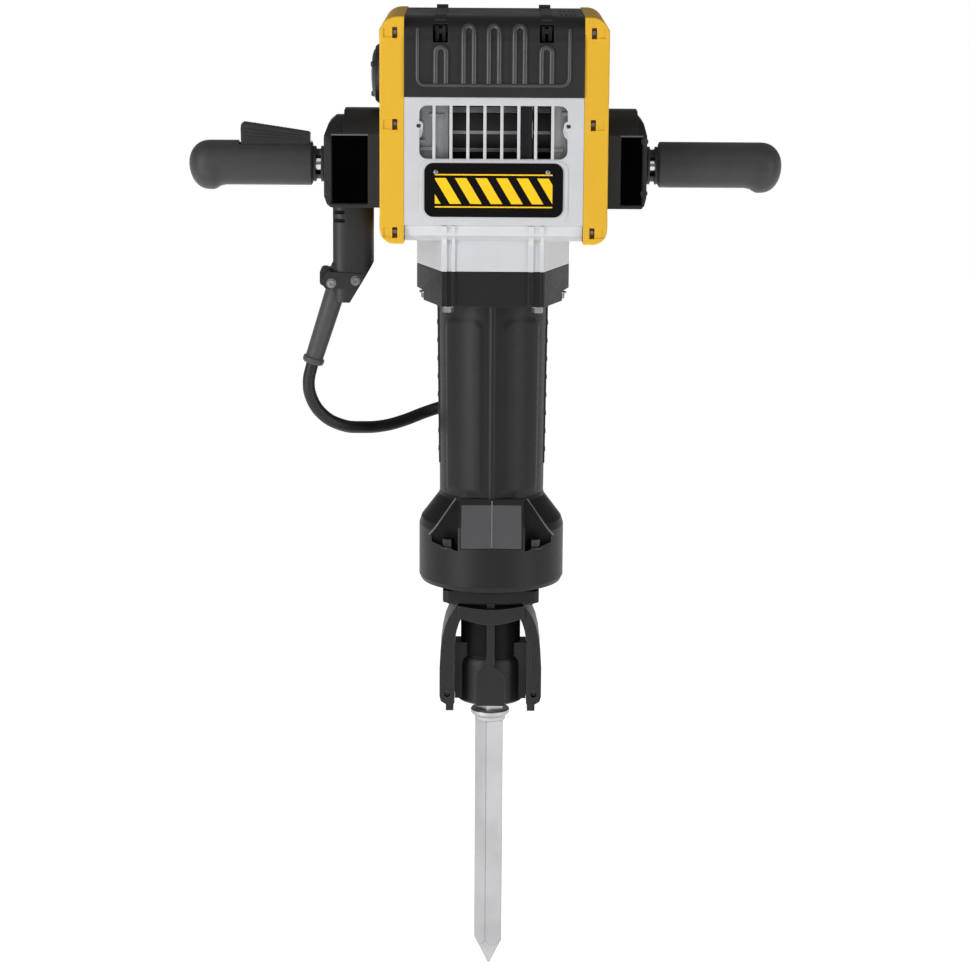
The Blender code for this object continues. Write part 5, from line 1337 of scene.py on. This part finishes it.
def bracket(mark, low, high):
    """One bracket: mark is -1 for the left and 1 for the right."""
    inner, outer = (low.x, high.x) if mark > 0 else (high.x, low.x)
    width = abs(outer - inner)

    def at(share):
        return outer + (inner - outer) * share

    step, lift = (0.34, 0.0075) if mark < 0 else (0.22, 0.006)
    half = [(high.y, low.z), (high.y, high.z - 0.0235), (high.y * 0.8, high.z - 0.011),
        (high.y * 0.35, high.z)]
    tall = half + [(-y, z) for y, z in reversed(half)]
    short = [(y, z - lift * (1 if z > 0.03 else 0)) for y, z in tall]
    body = slab(tall, inner, at(step), "X")
    join(body, slab(short, at(step + 0.05), outer, "X"))
    corner = slab([(at(-0.3), low.z - 0.01), (at(0.0) + mark * 0.002, low.z - 0.01), (at(0.0), low.z + 0.012),
        (at(0.05), low.z + 0.0035), (at(0.16), low.z - 0.002), (at(0.16), low.z - 0.02),
        (at(-0.3), low.z - 0.02)], -0.06, 0.06, "Y")
    crown = slab([(at(-0.3), 0.08), (at(-0.3), high.z - lift - 0.02), (at(0), high.z - lift - 0.018),
        (at(0.07), high.z - lift - 0.0065), (at(0.2), high.z - lift + 0.0008), (at(0.2), 0.08)],
        -0.06, 0.06, "Y")
    pivot = mark * (0.022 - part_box("left_bracket")[1].x)
    room = block(*[(pivot + s * 0.0145, s * 0.027, s * 0.026) for s in (-1, 1)])
    swing = ARM_R + abs(outer - pivot) * math.tan(HANDLE_SWING) + ARM_PLAY
    bore = rod(swing, *sorted((pivot, mark * 0.3)), "X", steps=64)
    hole = rod(0.0063, -0.0396, 0.0396, "Y", (pivot, 0, 0), 40)
    ends = (0.13, 0.78) if mark < 0 else (0.1, 0.66)
    left, right = at(ends[0]), at(ends[1])
    pockets = [block((left, f * 0.0432, low.z + 0.0035), (right, f * 0.06, high.z - 0.0245)) for f in (-1, 1)]
    cut(body, room, bore, hole, corner, crown, *pockets)
    eased(body, 0.0014, 3)
    side = "left" if mark < 0 else "right"
    fit(body, side + "_handle_bracket", handle_nylon, [side + "_bracket"])
    # The pocket floors are near-black matt sheets: painted shade that makes the shallow pockets read as deep
    # holes, with a dark groove line down them.
    pads = [block((left - mark * 0.0009, f * 0.0418, low.z + 0.0044),
        (right + mark * 0.0009, f * 0.044, high.z - 0.0254)) for f in (-1, 1)]
    seam = row([(at(0.46), f * 0.0441, -0.003) for f in (-1, 1)], (0.0007, 0.0008, high.z - low.z - 0.031))
    fit(eased(join(*pads, seam), 0.0004, 2), side + "_bracket_pads", pocket_shade_nylon)
    # The lips along each pocket's top edge are a lighter copy of the black coat: a painted highlight line.
    lips = beads([[(x, f * 0.0447, high.z - 0.024) for x in (left, right)] for f in (-1, 1)], 0.0009,
        highlight_edge_coat)
    fit(lips, side + "_bracket_lips", highlight_edge_coat)
    screws(side + "_bracket_bolts", [((at(0.06), f * 0.0446, z), (0, f, 0)) for f in (-1, 1)
        for z in (0.03, -0.025)], 0.003, 0.0016, black_screw, sides=6, socket=0.5)
    return pivot, outer


for mark, name in ((-1, "left_bracket"), (1, "right_bracket")):
    pivot, outer = bracket(mark, *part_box(name))
    print(name, "pivot at", round(pivot * 1000, 1), "mm")

# %% [markdown]
# Between bracket and grip each arm wears a short rubber sleeve with a collar at both ends, open
# at the front, where the bright shaft shows.

# %% Necks
for mark, side in ((-1, "left"), (1, "right")):
    low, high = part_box(side + "_neck")
    r = high.y
    ends = (low.x, high.x)
    neck = turned([(r - 0.001, ends[0]), (r, ends[0] + 0.001), (r, ends[0] + 0.0032),
        (r - 0.003, ends[0] + 0.004), (r - 0.003, ends[1] - 0.004), (r, ends[1] - 0.0032),
        (r, ends[1] - 0.001), (r - 0.001, ends[1]), (0.0113, ends[1]), (0.0113, ends[0])],
        "X", steps=72, ring=True)
    cut(neck, block((low.x + 0.003, -0.05, -0.0102), (high.x - 0.003, -0.002, 0.0102)))
    fit(eased(neck, 0.0005, 2), side + "_neck_sleeve", grip_rubber, [side + "_neck"], body=side + "_handle")


# %% [markdown]
# A grip is a stack of rings round the arm's line. The last rings close like a ball and sag
# downwards, which gives the drooping knob that keeps the hand on.

# %% Grips
KNOB_END, KNOB_ROUND, GRIP_BORE = 0.024, 2.4, 0.0113


def grip_shape(mark, low, high, droop):
    """A sleeve that swells into a drooping knob; closed at its outer end."""
    start, end = (low.x, high.x) if mark > 0 else (high.x, low.x)
    length, radius, raised = abs(end - start), (0.024 if mark < 0 else 0.0245), 0.001
    rows_x = [0, 0.0015] + [0.004 + (length - 0.044) * i / 18 for i in range(19)] + [
        length - 0.038 + 0.038 * math.sin(math.pi / 2 * i / 16) for i in range(1, 17)]
    steps = 96
    points, rings = [], []
    for reach in rows_x:
        from_end = length - reach
        cap = math.sqrt(max(0.0, 1 - max(0.0, 1 - from_end / KNOB_END) ** KNOB_ROUND))
        lip = 0.9 if reach == 0 else 1.0
        ring_points = []
        for i in range(steps):
            k = 2 * math.pi * i / steps
            down = max(0.0, -math.sin(k))
            knob = droop * down * smooth_step(reach, length - 0.038, length - 0.026)
            r = (radius * lip + knob) * max(cap, 0.004)
            ring_points.append((start + mark * reach, r * math.cos(k), r * math.sin(k) + raised))
        rings.append(len(points))
        points += ring_points
    bore, deep = GRIP_BORE, length - 0.0115
    inner = [(0.0, bore), (deep, bore)]
    for reach, r in inner:
        rings.append(len(points))
        points += [(start + mark * reach, r * math.cos(2 * math.pi * i / steps),
            r * math.sin(2 * math.pi * i / steps)) for i in range(steps)]
    outer_rows = rings[:-2]
    faces = []
    for a, b in zip(outer_rows, outer_rows[1:]):
        faces += [(a + i, a + (i + 1) % steps, b + (i + 1) % steps, b + i) for i in range(steps)]
    faces.append(tuple(range(outer_rows[-1], outer_rows[-1] + steps)))
    a, b, c = outer_rows[0], rings[-2], rings[-1]
    faces += [(a + i, b + i, b + (i + 1) % steps, a + (i + 1) % steps) for i in range(steps)]
    faces += [(b + i, c + i, c + (i + 1) % steps, b + (i + 1) % steps) for i in range(steps)]
    faces.append(tuple(range(c, c + steps)))
    return from_faces("grip", points, faces)


right_grip = grip_shape(1, *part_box("right_grip"), 0.0052)
eased(right_grip, 0, 1)
fit(right_grip, "right_grip_sleeve", grip_rubber, ["right_grip"], body="right_handle")
left_grip = grip_shape(-1, *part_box("left_grip"), 0.0052)
HINGE_X, SLOT_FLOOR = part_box("left_grip")[1].x - 0.006, 0.0138
cut(left_grip, slab(rounded((HINGE_X - 0.0735, -0.013), (HINGE_X + 0.0045, 0.013), 0.003), SLOT_FLOOR, 0.05,
    "Z"))
eased(left_grip, 0.0006, 2, 40)
fit(left_grip, "left_grip_sleeve", grip_rubber, ["left_grip"], body="left_handle")

# %% [markdown]
# The lever is a wedge with its deep end outwards, grooved on both sides and ribbed on top for the
# fingers. It sits in the left grip's slot and rides on a body of its own.

# %% Switch lever
lever_low, lever_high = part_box("switch_lever")
out_x, in_x, top_z = lever_low.x, lever_high.x, lever_high.z
lever = slab([(in_x, SLOT_FLOOR + 0.003), (in_x, top_z - 0.0118), (in_x - 0.002, top_z - 0.0102),
    (in_x - 0.011, top_z - 0.0088), (out_x + 0.006, top_z - 0.0004), (out_x + 0.003, top_z),
    (out_x + 0.0008, top_z - 0.0012), (out_x + 0.0002, top_z - 0.006), (out_x + 0.0006, top_z - 0.0232),
    (in_x - 0.009, SLOT_FLOOR + 0.0032)], lever_low.y, lever_high.y, "Y")
lines = []
for face in (-1, 1):
    for drop in (0.0045, 0.0085, 0.0125):
        lines.append(slab([(in_x - 0.006, top_z - 0.0096 - drop * 0.55), (out_x + 0.0045, top_z - drop),
            (out_x + 0.0045, top_z - drop - 0.0011), (in_x - 0.006, top_z - 0.0107 - drop * 0.55)],
                          face * (lever_high.y - 0.0006), face * (lever_high.y + 0.01)))
cut(lever, *lines)
eased(lever, 0.0009, 3)
fit(lever, "switch_paddle", handle_nylon, ["switch_lever"], body="lever")
lever_ribs = row([
    (x, 0, top_z - 0.0094 + (in_x - 0.011 - x) / (in_x - 0.011 - out_x - 0.006) * 0.0085 + 0.0006)
    for x in [in_x - 0.015 - 0.004 * i for i in range(12)]], (0.0014, 0.017, 0.0009))
fit(lever_ribs, "switch_paddle_ribs", handle_nylon, body="lever")

# %% [markdown]
# ## Cord entry, plug and keeper
#
# The cord leaves through a moulded half-round housing below the left bracket. At its foot a screwed
# clamp grips a tapered rubber sleeve, so the cord can't be bent sharply where it enters. The spare
# cord is folded behind the barrel, held by a strap on a moulded keeper, with its plug hanging below.

# %% Cord housing
entry_low, entry_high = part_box("cord_housing")
entry_x = (entry_low.x + 0.004, entry_high.x)
outline = [(entry_x[0], entry_high.z), (entry_x[1], entry_high.z), (entry_x[1], entry_high.z - 0.063),
    (entry_x[1] - 0.0255, entry_low.z), (entry_x[1] - 0.0375, entry_low.z),
    (entry_low.x, entry_low.z + 0.0185), (entry_low.x, entry_low.z + 0.0355),
    (entry_x[0], entry_low.z + 0.0435)]
entry = slab(outline, -0.03, 0.03, "Y")
middle_x = (entry_low.x + entry_high.x) / 2
half_x, half_y = (entry_high.x - entry_low.x) / 2, entry_high.y
drum = [(middle_x + half_x * math.copysign(abs(math.cos(k)) ** 0.72, math.cos(k)),
    half_y * math.copysign(abs(math.sin(k)) ** 0.82, math.sin(k)))
        for k in [2 * math.pi * i / 72 for i in range(72)]]
combine(entry, [slab(drum, entry_low.z - 0.01, entry_high.z + 0.01, "Z")], "INTERSECT")
boot_top = EXIT - DOWN * 0.087
lead_way = DOWN.to_track_quat("Z", "Y").to_matrix().to_4x4()


def tilted(piece):
    """Turns a piece made along Z so that it runs down the sleeve's line, from the sleeve's top."""
    piece.data.transform(Matrix.Translation(boot_top) @ lead_way)
    return piece


slots = [block((entry_x[0] - 0.002, -0.03, z - 0.0021), (entry_x[0] + 0.013, -0.012, z + 0.0021))
    for z in (-0.05, -0.059)]
cut(entry, tilted(rod(0.0113, -0.023, 0.06, steps=64)), *slots)
eased(entry, 0.0016, 3)
fit(entry, "cord_entry_housing", handle_nylon, ["cord_housing"])
clamp_low, clamp_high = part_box("cord_clamp")
clamp = slab(rounded((clamp_low.x, clamp_low.z), (clamp_high.x, clamp_high.z), 0.004), clamp_low.y,
    clamp_high.y, "Y")
cut(clamp, tilted(rod(0.0113, -0.03, 0.06, steps=64)))
fit(eased(clamp, 0.001, 3), "cord_clamp_block", handle_nylon, ["cord_clamp"])
saddle = slab([(-0.1852, -0.1266), (-0.1842, -0.1225), (-0.178, -0.114), (-0.14, -0.1165), (-0.1395, -0.1225),
    (-0.15, -0.132), (-0.18, -0.1328)], -0.0238, 0.0238, "Y")
cut(saddle, tilted(rod(0.0113, -0.03, 0.06, steps=64)))
fit(eased(saddle, 0.0018, 3), "cord_entry_saddle", handle_nylon)
hinge_bead = beads([[(entry_low.x + 0.003, -0.0165, -0.1065), (middle_x, -0.0215, -0.112),
    (entry_high.x - 0.006, -0.017, -0.11)]], 0.0011, handle_nylon)
fit(hinge_bead, "cord_entry_seam", handle_nylon)
screws("cord_clamp_screws", [((-0.174, -0.0236, -0.1265), FRONTWARD),
    ((-0.148, -0.0236, -0.1235), FRONTWARD)], 0.0042, 0.0022, screw_zinc)

# %% [markdown]
# The sleeve tapers down the cord and ends in a ring. It is turned along Z and then tilted to the
# cord's line.

# %% Sleeve
sleeve_profile = [(0, -0.02), (0.011, -0.02), (0.011, 0.004), (0.0107, 0.03), (0.0102, 0.056)]
sleeve_profile += [(0.0098, 0.079), (0.0118, 0.0806), (0.0118, 0.0846), (0.0103, 0.0868), (0.0069, 0.0868),
    (0, 0.0862)]
sleeve = tilted(turned(sleeve_profile, steps=72))
fit(eased(sleeve, 0.0004, 2), "tapered_cord_sleeve", boot_rubber, ["strain_relief"])

# %% [markdown]
# A round moulded plug with flutes to pull it by and two pins; a woven strap round the hank, its
# loose end lapped over; and the keeper, a block with a waist that the strap sits in.

# %% Plug, strap and keeper
plug_low, plug_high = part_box("plug")
plug_x, plug_y, plug_top = (plug_low.x + plug_high.x) / 2, (plug_low.y + plug_high.y) / 2, plug_high.z
plug_line = [(0, 0), (0.0085, 0), (0.0092, 0.003), (0.01, 0.012), (0.013, 0.018), (0.0168, 0.023),
    (0.017, 0.036), (0.0162, 0.0372), (0, 0.0372)]
plug = turned([(r, plug_top - drop) for r, drop in plug_line], at=(plug_x, plug_y, 0), steps=72)
flutes = [rod(0.0022, plug_top - 0.0215, plug_top - 0.0345,
    at=(plug_x + 0.0182 * math.cos(k), plug_y + 0.0182 * math.sin(k), 0), steps=16)
          for k in [math.pi * i / 9 for i in range(18)]]
cut(plug, *flutes)
fit(eased(plug, 0.0004, 2), "moulded_plug", boot_rubber, ["plug"])
pins = [turned([(0, plug_top - 0.036), (0.0024, plug_top - 0.036), (0.0024, plug_low.z + 0.0012),
    (0.0014, plug_low.z + 0.0002), (0, plug_low.z)],
               at=(plug_x + s * 0.0095, plug_y, 0), steps=28) for s in (-1, 1)]
fit(joined(pins), "plug_pins", gear_steel)
tie_low, tie_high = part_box("cord_tie")
inset = 0.0017
strap = slab(rounded((tie_low.x, tie_low.y), (tie_high.x, tie_high.y), 0.005), tie_low.z, tie_high.z, "Z")
window = slab(rounded((tie_low.x + inset, tie_low.y + inset), (tie_high.x - inset, tie_high.y - inset),
    0.0036), tie_low.z - 0.01, tie_high.z + 0.01, "Z")
cut(strap, window)
overlap = slab(rounded((-0.018, tie_low.z + 0.001), (0.018, tie_high.z - 0.001), 0.003), tie_high.y - 0.0006,
    tie_high.y + 0.0013, "Y")
join(strap, overlap)
fit(eased(strap, 0.0005, 2), "woven_cord_strap", strap_rubber, ["cord_tie"])
hook_low, hook_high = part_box("cord_hook")
keeper = slab(rounded((hook_low.x, hook_low.z), (hook_high.x, hook_high.z), 0.005), hook_low.y, hook_high.y,
    "Y")
waist = [block((s * 0.0085, hook_low.y + 0.004, tie_low.z - 0.0015),
    (s * 0.02, hook_high.y + 0.01, tie_high.z + 0.0015)) for s in (-1, 1)]
cut(keeper, *waist)
fit(eased(keeper, 0.001, 3), "cord_keeper", handle_nylon, ["cord_hook"])
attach(mains_cord, "housing")
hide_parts("cord_lead", "cord_hank")
print("sleeve and plug made")

# %% [markdown]
# ## Finishes of the inner parts
#
# The drive inside keeps the shapes it has in the solid model, where every shaft, gear and ring is a
# separate part. Each gets the finish of its real counterpart: ground gear steel, polished shafts and
# piston bore, a black-coated plate, a bare cast core, copper winding. Most are hidden, but they show
# through the grille.

# %% Inner parts
INNER = {
    gear_steel: ["crank_gear", "counter_gear", "counter_pinion", "motor_pinion", "crankshaft",
    "connecting_rod", "left_pivot_pin", "right_pivot_pin",
                 "crank_bearing", "counter_bearing", "motor_bearing", "hex_liner", "beat_guide", "ram",
                 "beat_piece"],
    shaft_steel: ["left_arm", "right_arm", "armature_shaft", "counter_shaft", "wrist_pin", "cylinder",
    "piston"],
    rough_casting: ["armature_core"],
    winding_copper: ["commutator", "field_stator"],
    black_coat: ["bearing_plate"],
    handle_nylon: ["fan", "front_brush", "rear_brush"],
}
for stuff, names in INNER.items():
    for name in names:
        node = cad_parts[name]
        for place in node.material_slots:
            place.material = stuff
        if not node.material_slots:
            node.data.materials.append(stuff)
print(sum(len(names) for names in INNER.values()), "inner parts finished")
